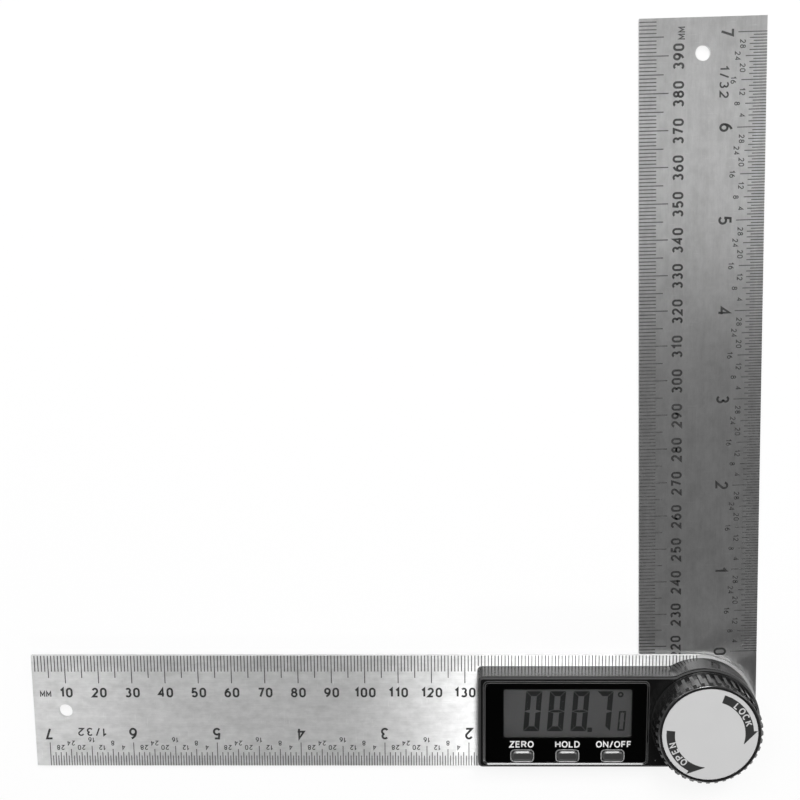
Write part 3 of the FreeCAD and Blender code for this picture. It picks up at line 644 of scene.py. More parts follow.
GLYPHS = {
    "0": glyph(0.56, bow(0.28, 0.71, 0.28, 0.29, 0, 180) + bow(0.28, 0.29, 0.28, 0.29, 180, 360)
               + [(0.56, 0.71)]),
    "1": glyph(0.34, [(0.04, 0.76), (0.3, 1.0), (0.3, 0.0)]),
    "2": glyph(0.56, bow(0.28, 0.72, 0.27, 0.28, 165, -32) + [(0.0, 0.0), (0.56, 0.0)]),
    "3": glyph(0.56, bow(0.27, 0.76, 0.24, 0.24, 150, -80), bow(0.27, 0.27, 0.28, 0.27, 80, -150)),
    "4": glyph(0.6, [(0.46, 0.0), (0.46, 1.0), (0.0, 0.3), (0.6, 0.3)]),
    "5": glyph(0.56, [(0.5, 1.0), (0.1, 1.0), (0.05, 0.53)] + bow(0.27, 0.3, 0.29, 0.3, 132, -150)),
    "6": glyph(0.56, bow(0.28, 0.31, 0.28, 0.31, -180, 180),
               bow(0.56, 0.31, 0.56, 0.69, 180, 102)),
    "7": glyph(0.54, [(0.0, 1.0), (0.54, 1.0), (0.2, 0.0)]),
    "8": glyph(0.56, bow(0.28, 0.76, 0.23, 0.24, -90, 270), bow(0.28, 0.27, 0.28, 0.27, -270, 90)),
    "9": glyph(0.56, bow(0.28, 0.69, 0.28, 0.31, 0, 360),
               bow(0.0, 0.69, 0.56, 0.69, 0, -78)),
    "/": glyph(0.36, [(0.0, -0.06), (0.36, 1.06)]),
    "C": glyph(0.64, bow(0.33, 0.5, 0.33, 0.5, 48, 312)),
    "D": glyph(0.62, [(0.0, 0.0), (0.0, 1.0), (0.22, 1.0)] + bow(0.22, 0.5, 0.4, 0.5, 80, -80)
               + [(0.22, 0.0), (0.0, 0.0)]),
    "E": glyph(0.5, [(0.5, 1.0), (0.0, 1.0), (0.0, 0.0), (0.5, 0.0)], [(0.0, 0.52), (0.44, 0.52)]),
    "F": glyph(0.48, [(0.48, 1.0), (0.0, 1.0), (0.0, 0.0)], [(0.0, 0.5), (0.42, 0.5)]),
    "H": glyph(0.6, [(0.0, 0.0), (0.0, 1.0)], [(0.6, 0.0), (0.6, 1.0)], [(0.0, 0.52), (0.6, 0.52)]),
    "K": glyph(0.6, [(0.0, 0.0), (0.0, 1.0)], [(0.56, 1.0), (0.04, 0.42)], [(0.22, 0.6), (0.6, 0.0)]),
    "L": glyph(0.48, [(0.0, 1.0), (0.0, 0.0), (0.48, 0.0)]),
    "M": glyph(0.74, [(0.0, 0.0), (0.0, 1.0), (0.37, 0.28), (0.74, 1.0), (0.74, 0.0)]),
    "N": glyph(0.6, [(0.0, 0.0), (0.0, 1.0), (0.6, 0.0), (0.6, 1.0)]),
    "O": glyph(0.7, bow(0.35, 0.5, 0.35, 0.5, 90, 450)),
    "P": glyph(0.56, [(0.0, 0.0), (0.0, 1.0), (0.28, 1.0)] + bow(0.28, 0.74, 0.28, 0.26, 75, -75)
               + [(0.28, 0.48), (0.0, 0.48)]),
    "R": glyph(0.6, [(0.0, 0.0), (0.0, 1.0), (0.3, 1.0)] + bow(0.3, 0.74, 0.28, 0.26, 75, -75)
               + [(0.3, 0.48), (0.0, 0.48)], [(0.3, 0.48), (0.6, 0.0)]),
    "Z": glyph(0.58, [(0.02, 1.0), (0.58, 1.0), (0.0, 0.0), (0.6, 0.0)]),
}


@dataclass(frozen=True)
class Lettering:
    """Plain single-stroke characters of one height and one stroke width."""

    height: float
    stroke: float
    gap: float = 0.3
    narrow: float = 1.0

    def scale(self) -> float:
        """Height of the middle lines, so that the strokes' edges reach the full height."""
        return self.height - self.stroke

    def width(self, text: str) -> float:
        """Length of a word, from outer edge to outer edge."""
        run = sum(GLYPHS[c].width * self.narrow for c in text) * self.scale()
        return run + self.stroke + (len(text) - 1) * (self.stroke + self.gap * self.height)

    def write(self, relief: "FlatRelief", text: str, place: Placement) -> None:
        """Writes a word with its middle at a place.

        Args:
            relief: What the strokes are added to.
            text: The word.
            place: Where its middle goes, and which way is up.
        """
        x = -self.width(text) / 2 + self.stroke / 2
        for character in text:
            shape = GLYPHS[character]
            for stroke in shape.strokes:
                line = [place.at(x + px * self.scale() * self.narrow, (py - 0.5) * self.scale())
                        for px, py in stroke]
                relief.add_stroke(line, self.stroke)
            x += shape.width * self.narrow * self.scale() + self.stroke + self.gap * self.height

    def write_round(self, relief: "FlatRelief", text: str, radius: float, first: float,
                    step: float) -> None:
        """Writes a word clockwise round the Z axis, its tops outwards.

        Args:
            relief: What the strokes are added to.
            text: The word.
            radius: Circle through the middle of the characters.
            first: Angle of the first character, in degrees.
            step: Angle from one character to the next, in degrees.
        """
        for i, character in enumerate(text):
            angle = math.radians(first - i * step)
            out = (math.cos(angle), math.sin(angle))
            self.write(relief, character, Placement((radius * out[0], radius * out[1]), out))


def new_piece(name: str, corners: Sequence[tuple[float, float, float]], faces: Sequence[tuple[int, ...]],
              finish: bpy.types.Material, body: str) -> bpy.types.Object:
    """Makes an object from corners and faces, and lets it ride on a body.

    Args:
        name: The piece's name.
        corners: Its corners.
        faces: Its faces, as numbers of corners.
        finish: Its material.
        body: The body that carries it.

    Returns:
        The object.
    """
    mesh = bpy.data.meshes.new(name)
    mesh.from_pydata(corners, [], faces)
    work = bmesh.new()
    work.from_mesh(mesh)
    bmesh.ops.recalc_face_normals(work, faces=work.faces)
    work.to_mesh(mesh)
    work.free()
    mesh.materials.append(finish)
    piece = bpy.data.objects.new(name, mesh)
    bpy.context.scene.collection.objects.link(piece)
    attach(piece, body)
    log.info("%s: %d faces on %s", name, len(mesh.polygons), body)
    return piece


class FlatRelief:
    """Collects thin flat shapes and makes one mesh of them between two heights."""

    MITRE_LIMIT = 2.6

    def __init__(self, floor: float, top: float) -> None:
        """Starts with no shapes.

        Args:
            floor: Lower height.
            top: Upper height.
        """
        self.floor = floor
        self.top = top
        self.corners: list[tuple[float, float, float]] = []
        self.faces: list[tuple[int, ...]] = []

    def add_ribbon(self, pairs: Sequence[Pair], closed: bool = False) -> None:
        """Adds a band between two edges.

        Args:
            pairs: Left and right point of each step along the band.
            closed: Whether the last step joins the first.
        """
        start = len(self.corners)
        for left, right in pairs:
            for x, y in (left, right):
                self.corners.append((x, y, self.top))
                self.corners.append((x, y, self.floor))
        count = len(pairs)
        for i in range(count if closed else count - 1):
            a = start + 4 * i
            b = start + 4 * ((i + 1) % count)
            self.faces.append((a, a + 2, b + 2, b))
            self.faces.append((a + 1, b + 1, b + 3, a + 3))
            self.faces.append((a, b, b + 1, a + 1))
            self.faces.append((a + 2, a + 3, b + 3, b + 2))
        if not closed:
            a = start
            b = start + 4 * (count - 1)
            self.faces.append((a, a + 1, a + 3, a + 2))
            self.faces.append((b, b + 2, b + 3, b + 1))

    def add_bar(self, first: Point, second: Point, width: float) -> None:
        """Adds a straight bar with square ends."""
        self.add_ribbon(self.edges([first, second], width, False))

    def add_stroke(self, points: Sequence[Point], width: float) -> None:
        """Adds a stroke along points. It is closed where its last point is its first.

        Args:
            points: The stroke's middle line.
            width: Its width.
        """
        closed = math.dist(points[0], points[-1]) < width * 0.01
        line = list(points[:-1]) if closed else list(points)
        self.add_ribbon(self.edges(line, width, closed), closed)

    def edges(self, line: Sequence[Point], width: float, closed: bool) -> list[Pair]:
        """Left and right edge of a stroke, mitred at its corners.

        Args:
            line: The stroke's middle line.
            width: Its width.
            closed: Whether it runs round.

        Returns:
            One pair for each point.
        """
        count = len(line)
        pairs = []
        for i, (x, y) in enumerate(line):
            before = line[i - 1] if closed or i > 0 else None
            after = line[(i + 1) % count] if closed or i < count - 1 else None
            into = self.unit(before, (x, y)) if before else None
            out = self.unit((x, y), after) if after else None
            into = into or out
            out = out or into
            mean = (into[0] + out[0], into[1] + out[1])
            length = math.hypot(*mean)
            normal = (-mean[1] / length, mean[0] / length)
            reach = min(2.0 / length, self.MITRE_LIMIT) * width / 2
            pairs.append(((x + normal[0] * reach, y + normal[1] * reach),
                          (x - normal[0] * reach, y - normal[1] * reach)))
        return pairs

    @staticmethod
    def unit(first: Point, second: Point) -> Point:
        """Direction from one point to another, one long."""
        length = math.dist(first, second)
        return ((second[0] - first[0]) / length, (second[1] - first[1]) / length)

    def build(self, name: str, finish: bpy.types.Material, body: str, slot: str) -> bpy.types.Object:
        """Makes the object and lets it ride on a body.

        Args:
            name: The piece's name.
            finish: Its material.
            body: The body that carries it.
            slot: The record's material slot it belongs to. Not used.

        Returns:
            The object.
        """
        return new_piece(name, self.corners, self.faces, finish, body)


@dataclass(frozen=True)
class RoundedLoop:
    """A rectangle with rounded corners, seen from above."""

    middle: Point
    length: float
    width: float
    corner: float
    corner_steps: int = 6

    def stations(self) -> list[Pair]:
        """Points all the way round, each with its outward direction."""
        reach = (self.length / 2 - self.corner, self.width / 2 - self.corner)
        found = []
        for quarter, (side_x, side_y) in enumerate(((1, 1), (-1, 1), (-1, -1), (1, -1))):
            for i in range(self.corner_steps + 1):
                angle = math.radians(90.0 * (quarter + i / self.corner_steps))
                out = (math.cos(angle), math.sin(angle))
                found.append(((self.middle[0] + side_x * reach[0] + self.corner * out[0],
                               self.middle[1] + side_y * reach[1] + self.corner * out[1]), out))
        return found


class BeadLoops:
    """Collects rings and caps, each a section swept round a loop, and makes one mesh of them."""

    def __init__(self) -> None:
        """Starts with no beads."""
        self.corners: list[tuple[float, float, float]] = []
        self.faces: list[tuple[int, ...]] = []

    def add(self, loop: RoundedLoop, section: Sequence[Point]) -> None:
        """Sweeps a section round a loop.

        Args:
            loop: The path.
            section: Closed section as outward offsets from the path and heights.
        """
        start = len(self.corners)
        stations = loop.stations()
        for (x, y), (out_x, out_y) in stations:
            self.corners += [(x + out_x * offset, y + out_y * offset, height)
                             for offset, height in section]
        sides = len(section)
        count = len(stations)
        for i in range(count):
            a = start + i * sides
            b = start + ((i + 1) % count) * sides
            for j in range(sides):
                k = (j + 1) % sides
                self.faces.append((a + j, b + j, b + k, a + k))

    def add_cap(self, loop: RoundedLoop, section: Sequence[Point]) -> None:
        """Sweeps an open section round a loop, and closes it with a flat face at each end.

        Args:
            loop: The path.
            section: Outward offsets from the path and heights, from the underside to the crown.
        """
        start = len(self.corners)
        stations = loop.stations()
        count = len(stations)
        for offset, height in section:
            self.corners += [(x + out_x * offset, y + out_y * offset, height)
                             for (x, y), (out_x, out_y) in stations]
        for level in range(len(section) - 1):
            for i in range(count):
                a = start + level * count + i
                b = start + level * count + (i + 1) % count
                self.faces.append((a, b, b + count, a + count))
        last = start + (len(section) - 1) * count
        self.faces.append(tuple(range(start, start + count)))
        self.faces.append(tuple(range(last, last + count)))

    def build(self, name: str, finish: bpy.types.Material, body: str, slot: str,
              smooth: bool = True) -> bpy.types.Object:
        """Makes the object and lets it ride on a body.

        Args:
            name: The piece's name.
            finish: Its material.
            body: The body that carries it.
            slot: The record's material slot it belongs to. Not used.
            smooth: Whether its section reads as round.

        Returns:
            The object.
        """
        piece = new_piece(name, self.corners, self.faces, finish, body)
        for face in piece.data.polygons:
            face.use_smooth = smooth
        return piece


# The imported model


class PackedModel:
    """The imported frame, with calls to dress its nodes and read their places."""

    def __init__(self, frame: dict) -> None:
        self.nodes: dict[str, bpy.types.Object] = frame["nodes"]

    def dress(self, finish: bpy.types.Material, *names: str) -> None:
        """Gives CAD nodes a material.

        Args:
            finish: The material.
            names: The nodes.
        """
        for name in names:
            node = self.nodes[name]
            if not node.material_slots:
                node.data.materials.append(finish)
            for slot in node.material_slots:
                slot.material = finish
            log.info("%s: dressed in %s", name, finish.name)

    @staticmethod
    def floor(name: str) -> float:
        """Lowest height of a node."""
        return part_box(name)[0][2]

    @staticmethod
    def top(name: str) -> float:
        """Highest height of a node."""
        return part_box(name)[1][2]

    @staticmethod
    def middle(name: str) -> Point:
        """Middle of a node's box, seen from above."""
        low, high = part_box(name)
        return ((low[0] + high[0]) / 2, (low[1] + high[1]) / 2)


# The rulers


class Edge(Enum):
    """The two edges of a ruler that carry a scale."""

    METRIC = 1
    INCHES = -1


@dataclass
class Ruler:
    """One steel ruler: its brushed finish and the two scales printed on it."""

    model: PackedModel
    node: str
    body: str
    along: Point
    metric_side: Point
    value_at_pivot: int
    value_step: int
    housing_reach: float = 0.0
    housing_half_width: float = 0.0
    round_radius: float = 0.0
    length: float = 200 * MM
    half_width: float = 17.5 * MM
    metric_ticks: tuple[float, float, float] = (5.0 * MM, 7.0 * MM, 8.7 * MM)
    inch_ticks: tuple[float, ...] = (3.2 * MM, 4.3 * MM, 4.3 * MM, 5.3 * MM, 6.3 * MM, 7.4 * MM)
    tick_width: float = 0.3 * MM
    inch_tick_width: float = 0.26 * MM
    inch_zero: float = 18.0 * MM
    metric_numeral_row: float = 11.65 * MM
    inch_numeral_row: float = 10.25 * MM
    small_shift: float = -0.3 * MM
    metric_lag: float = 0.0
    last_inch: int = 7
    thirty_second_rows: dict[int, float] = field(default_factory=lambda: {
        4: 6.1 * MM, 8: 7.5 * MM, 12: 6.1 * MM, 16: 8.6 * MM, 20: 6.1 * MM, 24: 7.5 * MM, 28: 6.1 * MM})
    metric_lettering: Lettering = Lettering(3.1 * MM, 0.6 * MM, 0.16)
    inch_lettering: Lettering = Lettering(3.75 * MM, 0.64 * MM, 0.2)
    small_lettering: Lettering = Lettering(1.6 * MM, 0.27 * MM, 0.2)
    unit_lettering: Lettering = Lettering(2.0 * MM, 0.36 * MM, 0.14)
    division_lettering: Lettering = Lettering(2.6 * MM, 0.44 * MM, 0.3, 1.2)
    unit_place: Point = (196.2 * MM, 12.1 * MM)
    division_place: Point = (182.7 * MM, 11.1 * MM)
    ink_lift: float = 0.012 * MM

    def spot(self, along: float, across: float) -> Point:
        """A place on the ruler: distance from the pivot, and from the middle to the metric edge."""
        return (self.along[0] * along + self.metric_side[0] * across,
                self.along[1] * along + self.metric_side[1] * across)

    def clear_of(self, along: float) -> float:
        """How far from the middle a mark has to stay, so that nothing stands on it.

        Args:
            along: Distance from the pivot.

        Returns:
            The smallest distance from the ruler's middle line.
        """
        clear = 0.0
        if along < self.housing_reach:
            clear = self.housing_half_width
        if along < self.round_radius:
            clear = max(clear, math.sqrt(self.round_radius ** 2 - along ** 2))
        return clear

    def tick(self, relief: FlatRelief, along: float, length: float, width: float,
             edge: Edge) -> None:
        """One mark across the ruler's edge, cut short where something stands on the ruler.

        Args:
            relief: What it is added to.
            along: Distance from the pivot.
            length: Its full length.
            width: Its width.
            edge: The edge it starts at.
        """
        inner = max(self.half_width - length, self.clear_of(along))
        if inner < self.half_width - width:
            relief.add_bar(self.spot(along, edge.value * self.half_width),
                           self.spot(along, edge.value * inner), width)

    def is_bare(self, along: float, across: float, reach: float) -> bool:
        """Whether a numeral at a place is clear of the housing and the pivot."""
        if along < self.housing_reach + reach and abs(across) < self.housing_half_width + reach:
            return False
        return math.hypot(along, across) > self.round_radius + reach

    def numeral(self, relief: FlatRelief, style: Lettering, text: str, along: float, row: float,
                edge: Edge) -> None:
        """A number that stands with its top towards its own edge.

        Args:
            relief: What it is added to.
            style: The lettering.
            text: The number.
            along: Distance from the pivot.
            row: Distance of its middle from the edge.
            edge: The edge.
        """
        across = edge.value * (self.half_width - row)
        if self.is_bare(along, across, style.height * 0.5):
            up = (self.metric_side[0] * edge.value, self.metric_side[1] * edge.value)
            style.write(relief, text, Placement(self.spot(along, across), up))

    def metric_scale(self, lines: FlatRelief, figures: FlatRelief) -> None:
        """Millimetre marks with a number at each centimetre.

        Args:
            lines: What the marks are added to.
            figures: What the numbers are added to.
        """
        short, half, whole = self.metric_ticks
        for millimetre in range(1, round(self.length / MM)):
            length = short
            if millimetre % 10 == 0:
                length = whole
            elif millimetre % 5 == 0:
                length = half
            along = millimetre * MM
            self.tick(lines, along, length, self.tick_width, Edge.METRIC)
            value = self.value_at_pivot + self.value_step * millimetre
            if millimetre % 10 == 0:
                self.numeral(figures, self.metric_lettering, str(value), along - self.metric_lag,
                             self.metric_numeral_row, Edge.METRIC)
        along, row = self.unit_place
        self.numeral(figures, self.unit_lettering, "MM", along, row, Edge.METRIC)

    def inch_scale(self, lines: FlatRelief, figures: FlatRelief, small: FlatRelief) -> None:
        """Marks of a thirty-second of an inch, with a number at each inch and each fourth mark.

        Args:
            lines: What the marks are added to.
            figures: What the inch numbers are added to.
            small: What the small numbers are added to.
        """
        marks = 32
        for mark in range(self.last_inch * marks + 1):
            along = self.inch_zero + mark * INCH / marks
            part = mark % marks
            rank = 5 if part == 0 else min((part & -part).bit_length() - 1, 4)
            self.tick(lines, along, self.inch_ticks[rank], self.inch_tick_width, Edge.INCHES)
            if part == 0:
                self.numeral(figures, self.inch_lettering, str(mark // marks), along,
                             self.inch_numeral_row, Edge.INCHES)
            elif part in self.thirty_second_rows:
                self.numeral(small, self.small_lettering, str(part), along,
                             self.thirty_second_rows[part] + self.small_shift, Edge.INCHES)
        along, row = self.division_place
        self.numeral(figures, self.division_lettering, "1/32", along, row + self.small_shift,
                     Edge.INCHES)

    def build(self, steel: BrushedSteel, line_ink: bpy.types.Material, number_ink: bpy.types.Material,
              small_ink: bpy.types.Material) -> None:
        """Dresses the ruler and prints its scales.

        Args:
            steel: The ruler's finish.
            line_ink: Ink of the marks.
            number_ink: Ink of the large numbers.
            small_ink: Ink of the small numbers.
        """
        self.model.dress(steel.material(self.node + "_steel"), self.node)
        top = self.model.top(self.node)
        metric, inch, numbers, small = (FlatRelief(top, top + self.ink_lift) for _ in range(4))
        self.metric_scale(metric, numbers)
        self.inch_scale(inch, numbers, small)
        for relief, piece, ink in ((metric, "_millimetre_marks", line_ink),
                                   (inch, "_inch_marks", line_ink),
                                   (numbers, "_numbers", number_ink),
                                   (small, "_small_numbers", small_ink)):
            relief.build(self.body + piece, ink, self.body, "steel")


# The read-out


SEGMENTS = {
    "0": "abcdef", "1": "bc", "2": "abged", "3": "abgcd", "4": "fgbc", "5": "afgcd", "6": "afgedc",
    "7": "abc", "8": "abcdefg", "9": "abcdfg",
}


@dataclass
class ReadOut:
    """The display and its window, and the digits that it shows."""

    model: PackedModel
    view_middle: Point = (-39.9 * MM, 2.6 * MM)
    view_size: Point = (37.9 * MM, 15.2 * MM)
    digits: str = "0887"
    first_left: float = -52.9 * MM
    foot: float = -3.22 * MM
    pitch: float = 6.95 * MM
    digit_width: float = 4.7 * MM
    digit_height: float = 12.4 * MM
    segment: float = 1.5 * MM
    lean: float = 4.0
    point_place: Point = (-33.3 * MM, -2.8 * MM)
    degree_place: Point = (-24.4 * MM, 8.15 * MM)
    degree_radius: float = 0.6 * MM
    small_digit: tuple[float, float, float, float] = (-25.2 * MM, -3.1 * MM, 2.1 * MM, 6.15 * MM)
    small_segment: float = 0.5 * MM
    segment_gap: float = 0.06
    ink_lift: float = 0.015 * MM
    view_corner: float = 0.9 * MM
    view_overlap: float = 0.15 * MM
    ring_width: float = 0.6 * MM
    ring_height: float = 0.16 * MM
    ring_corner: float = 1.0 * MM
    seam: float = 0.13 * MM
    seam_proud: float = 0.02 * MM

    def trim(self, ring: bpy.types.Material, seam: bpy.types.Material) -> None:
        """Lays the bevelled ring round the window, with a fine seam along each side of it.

        Args:
            ring: The bevel's finish.
            seam: The finish of the two seams.
        """
        low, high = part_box("display_window")
        top = high[2]
        loop = RoundedLoop(self.model.middle("display_window"), high[0] - low[0], high[1] - low[1],
                           self.ring_corner)
        bevel = BeadLoops()
        bevel.add(loop, [(0.0, low[2]), (0.0, top + self.ring_height), (self.ring_width, top),
                         (self.ring_width, low[2])])
        bevel.build("window_ring", ring, "base", "window_clear", smooth=False)
        seams = BeadLoops()
        half = self.seam / 2
        for offset, height in ((-half, self.ring_height), (self.ring_width - half, self.seam_proud)):
            seams.add(loop, [(offset - half, low[2]), (offset - half, top + height),
                             (offset, top + height + half * 0.5), (offset + half, top + height),
                             (offset + half, low[2])])
        seams.build("window_seams", seam, "base", "window_clear")

    def round_view(self, mask: bpy.types.Material) -> None:
        """Rounds the corners of the visible area with a frame under the mask.

        Args:
            mask: The black print.
        """
        z = self.model.floor("window_adhesive")
        upper, lower = z - self.ink_lift, z - 4 * self.ink_lift
        inner, outer = -self.view_overlap, self.view_overlap * 4
        view = RoundedLoop(self.view_middle, self.view_size[0], self.view_size[1], self.view_corner)
        frame = BeadLoops()
        frame.add(view, [(inner, upper), (outer, upper), (outer, lower), (inner, lower)])
        frame.build("view_frame", mask, "base", "mask_black")

    def slanted(self, x: float, y: float) -> Point:
        """A point of the read-out, leant to the right by its height above the foot."""
        return (x + (y - self.foot) * math.tan(math.radians(self.lean)), y)

    def digit(self, relief: FlatRelief, character: str, left: float, foot: float, width: float,
              height: float, segment: float) -> None:
        """One seven-segment digit, its segments mitred with narrow gaps between them.

        Args:
            relief: What it is added to.
            character: The digit.
            left: Its left edge at the foot.
            foot: Its lower edge.
            width: Its width.
            height: Its height.
            segment: Width of a segment.
        """
        gap = segment * self.segment_gap
        x0, x1, y0, y1 = left, left + width, foot, foot + height
        xi0, xi1, yi0, yi1 = x0 + segment, x1 - segment, y0 + segment, y1 - segment
        ym, h = (y0 + y1) / 2, segment * 0.3
        shapes = {
            "a": (((x0 + gap, y1), (xi0 + gap, yi1)), ((x1 - gap, y1), (xi1 - gap, yi1))),
            "b": (((xi1, yi1 - gap), (x1, y1 - gap)), ((xi1, ym + h + gap), (x1, ym + gap))),
            "c": (((xi1, ym - h - gap), (x1, ym - gap)), ((xi1, yi0 + gap), (x1, y0 + gap))),
            "d": (((x0 + gap, y0), (xi0 + gap, yi0)), ((x1 - gap, y0), (xi1 - gap, yi0))),
            "e": (((x0, ym - gap), (xi0, ym - h - gap)), ((x0, y0 + gap), (xi0, yi0 + gap))),
            "f": (((x0, y1 - gap), (xi0, yi1 - gap)), ((x0, ym + gap), (xi0, ym + h + gap))),
            "g": (((x0 + h, ym + h * 0.2), (x0 + h, ym - h * 0.2)),
                  ((xi0, ym + h * 0.8), (xi0, ym - h * 0.8)),
                  ((xi1, ym + h * 0.8), (xi1, ym - h * 0.8)),
                  ((x1 - h, ym + h * 0.2), (x1 - h, ym - h * 0.2))),
        }
        for key in SEGMENTS[character]:
            relief.add_ribbon([(self.slanted(*one), self.slanted(*two)) for one, two in shapes[key]])

    def build(self, window: bpy.types.Material, mask: bpy.types.Material, field_finish: bpy.types.Material,
              ink: bpy.types.Material) -> None:
        """Dresses the window, the mask and the display, and shows the digits.

        Args:
            window: The clear sheet.
            mask: The black print round the visible area.
            field_finish: The display's field.
            ink: The dark segments.
        """
        self.model.dress(window, "display_window")
        self.model.dress(mask, "window_adhesive")
        self.model.dress(field_finish, "lcd_panel")
        face = self.model.top("lcd_panel")
        relief = FlatRelief(face, face + self.ink_lift)
        for i, character in enumerate(self.digits):
            self.digit(relief, character, self.first_left + i * self.pitch, self.foot,
                       self.digit_width, self.digit_height, self.segment)
        left, foot, width, height = self.small_digit
        self.digit(relief, "0", left, foot, width, height, self.small_segment)
        x, y = self.point_place
        half = self.segment * 0.45
        relief.add_bar((x - half, y), (x + half, y), 2 * half)
        ring = bow(*self.degree_place, self.degree_radius, self.degree_radius, 0, 360)
        relief.add_stroke(ring, self.small_segment)
        relief.build("display_digits", ink, "base", "display_glass")


@dataclass
class KeyPad:
    """The three keys, with their names printed on the window."""

    model: PackedModel
    names: dict[str, str] = field(default_factory=lambda: {
        "zero_key": "ZERO", "hold_key": "HOLD", "power_key": "ON/OFF"})
    name_shift: dict[str, float] = field(default_factory=lambda: {
        "zero_key": -0.23 * MM, "hold_key": 0.0, "power_key": 0.25 * MM})
    row: float = -6.72 * MM
    rim_length: float = 6.68 * MM
    rim_height: float = 3.6 * MM
    rim_corner: float = 1.05 * MM
    rim_offset: float = -0.08 * MM
    rim_width: float = 0.3 * MM
    rim_proud: float = 0.03 * MM
    lettering: Lettering = Lettering(2.05 * MM, 0.36 * MM, 0.14, 1.22)
    ink_lift: float = 0.012 * MM
    key_length: float = 6.2 * MM
    key_height: float = 3.1 * MM
    key_corner: float = 1.3 * MM
    crown_skirt: tuple[Point, ...] = (
        (-0.06 * MM, -0.6 * MM), (-0.02 * MM, -0.5 * MM), (-0.02 * MM, -0.05 * MM), (-0.08 * MM, 0.0))
    crown_fall: float = 0.5 * MM
    crown_rise: float = 0.24 * MM
    crown_edge: Point = (0.1 * MM, 0.02 * MM)
    key_bodies: dict[str, str] = field(default_factory=lambda: {
        "zero_key": "zero_button", "hold_key": "hold_button", "power_key": "power_button"})

    def crown(self, key: str, rubber: bpy.types.Material) -> None:
        """Caps a key with a face whose edge falls away all round.

        Args:
            key: The key's node.
            rubber: The key's finish.
        """
        top = self.model.top(key)
        crest = top + self.crown_rise
        inset, rise = self.crown_edge
        loop = RoundedLoop(self.model.middle(key), self.key_length, self.key_height, self.key_corner)
        cap = BeadLoops()
        cap.add_cap(loop, [(offset, top + height) for offset, height in self.crown_skirt]
                    + [(-self.crown_fall, crest), (-self.crown_fall - inset, crest + rise)])
        cap.build(key + "_crown", rubber, self.key_bodies[key], "key_grey", smooth=False)

    def build(self, rubber: bpy.types.Material, print_white: bpy.types.Material) -> None:
        """Dresses the keys and prints their names.

        Args:
            rubber: The keys' finish.
            print_white: The white print.
        """
        top = self.model.top("display_window")
        relief = FlatRelief(top, top + self.ink_lift)
        for key, name in self.names.items():
            self.model.dress(rubber, key)
            self.crown(key, rubber)
            middle = self.model.middle(key)
            place = Placement((middle[0] + self.name_shift[key], self.row), (0.0, 1.0))
            self.lettering.write(relief, name, place)
        relief.build("key_names", print_white, "base", "window_clear")

    def edge_holes(self, edge_highlight_paint: bpy.types.Material) -> None:
        """Lays a bead on the window's cut edge round each key; its light grey colour is a painted
        highlight.

        Args:
            edge_highlight_paint: The light grey finish that paints the cut edge's highlight.
        """
        beads = BeadLoops()
        top = self.model.top("display_window")
        low = self.model.floor("display_window")
        half = self.rim_width / 2
        section = [(-half, low), (-half, top - half), (half * 0.4, top + self.rim_proud), (half, top),
                   (half, low)]
        for key in self.names:
            x, y = self.model.middle(key)
            loop = RoundedLoop((x, y + self.rim_offset), self.rim_length, self.rim_height,
                               self.rim_corner)
            beads.add(loop, section)
        beads.build("key_hole_edges", edge_highlight_paint, "base", "window_clear")


# The lock


@dataclass
class LockKnob:
    """The knob with its label: two bent arrows with a word cut out of each."""

    model: PackedModel
    band: Point = (10.05 * MM, 12.5 * MM)
    barb_radius: float = 13.66 * MM
    lock_start: float = 72.2
    open_start: float = 174.2
    band_sweep: float = 67.4
    barb_sweep: float = 67.4
    head_sweep: float = 88.8
    head_steps: int = 8
    head_end: float = 0.985
    tip_clear: float = 1.012
    lock_letters: Point = (11.35 * MM, 49.2)
    open_letters: Point = (11.1 * MM, 228.8)
    letter_step: float = 10.65
    lettering: Lettering = Lettering(2.05 * MM, 0.37 * MM, 0.1, 1.15)
    ink_lift: float = 0.012 * MM

    @staticmethod
    def polar(radius: float, angle: float) -> Point:
        """A point at a radius and an angle in degrees."""
        return (radius * math.cos(math.radians(angle)), radius * math.sin(math.radians(angle)))

    def arrow(self, relief: FlatRelief, start: float, turn: int) -> None:
        """A bent band that ends in a half arrow head.

        Args:
            relief: What it is added to.
            start: Angle of its tail, in degrees.
            turn: 1 counter-clockwise, -1 clockwise.
        """
        inner, outer = self.band
        steps = 24
        pairs = []
        for i in range(steps + 1):
            angle = start + turn * self.band_sweep * i / steps
            pairs.append((self.polar(inner, angle), self.polar(outer, angle)))
        relief.add_ribbon(pairs)
        barb = self.polar(self.barb_radius, start + turn * self.barb_sweep)
        tip = self.polar(inner * self.tip_clear, start + turn * self.head_sweep)
        head = []
        for i in range(self.head_steps + 1):
            share = min(i / self.head_steps, self.head_end)
            angle = start + turn * (self.band_sweep + (self.head_sweep - self.band_sweep) * share)
            slope = (barb[0] + (tip[0] - barb[0]) * share, barb[1] + (tip[1] - barb[1]) * share)
            head.append((self.polar(inner, angle), slope))
        relief.add_ribbon(head)

    def build(self, grip: bpy.types.Material, stud: bpy.types.Material, foil: bpy.types.Material,
              ink: bpy.types.Material) -> None:
        """Dresses the knob and prints its label.

        Args:
            grip: The grip's plastic.
            stud: The stud's metal.
            foil: The label's face, and the letters cut out of the arrows.
            ink: The arrows.
        """
        self.model.dress(grip, "knob_cap")
        self.model.dress(stud, "knob_stud")
        self.model.dress(foil, "knob_label")
        face = self.model.top("knob_label")
        arrows = FlatRelief(face, face + self.ink_lift)
        self.arrow(arrows, self.lock_start, -1)
        self.arrow(arrows, self.open_start, 1)
        arrows.build("lock_arrows", ink, "knob", "label_print")
        words = FlatRelief(face + self.ink_lift, face + 2 * self.ink_lift)
        self.lettering.write_round(words, "LOCK", *self.lock_letters, self.letter_step)
        self.lettering.write_round(words, "OPEN", *self.open_letters, self.letter_step)
        words.build("lock_words", foil, "knob", "label_print")


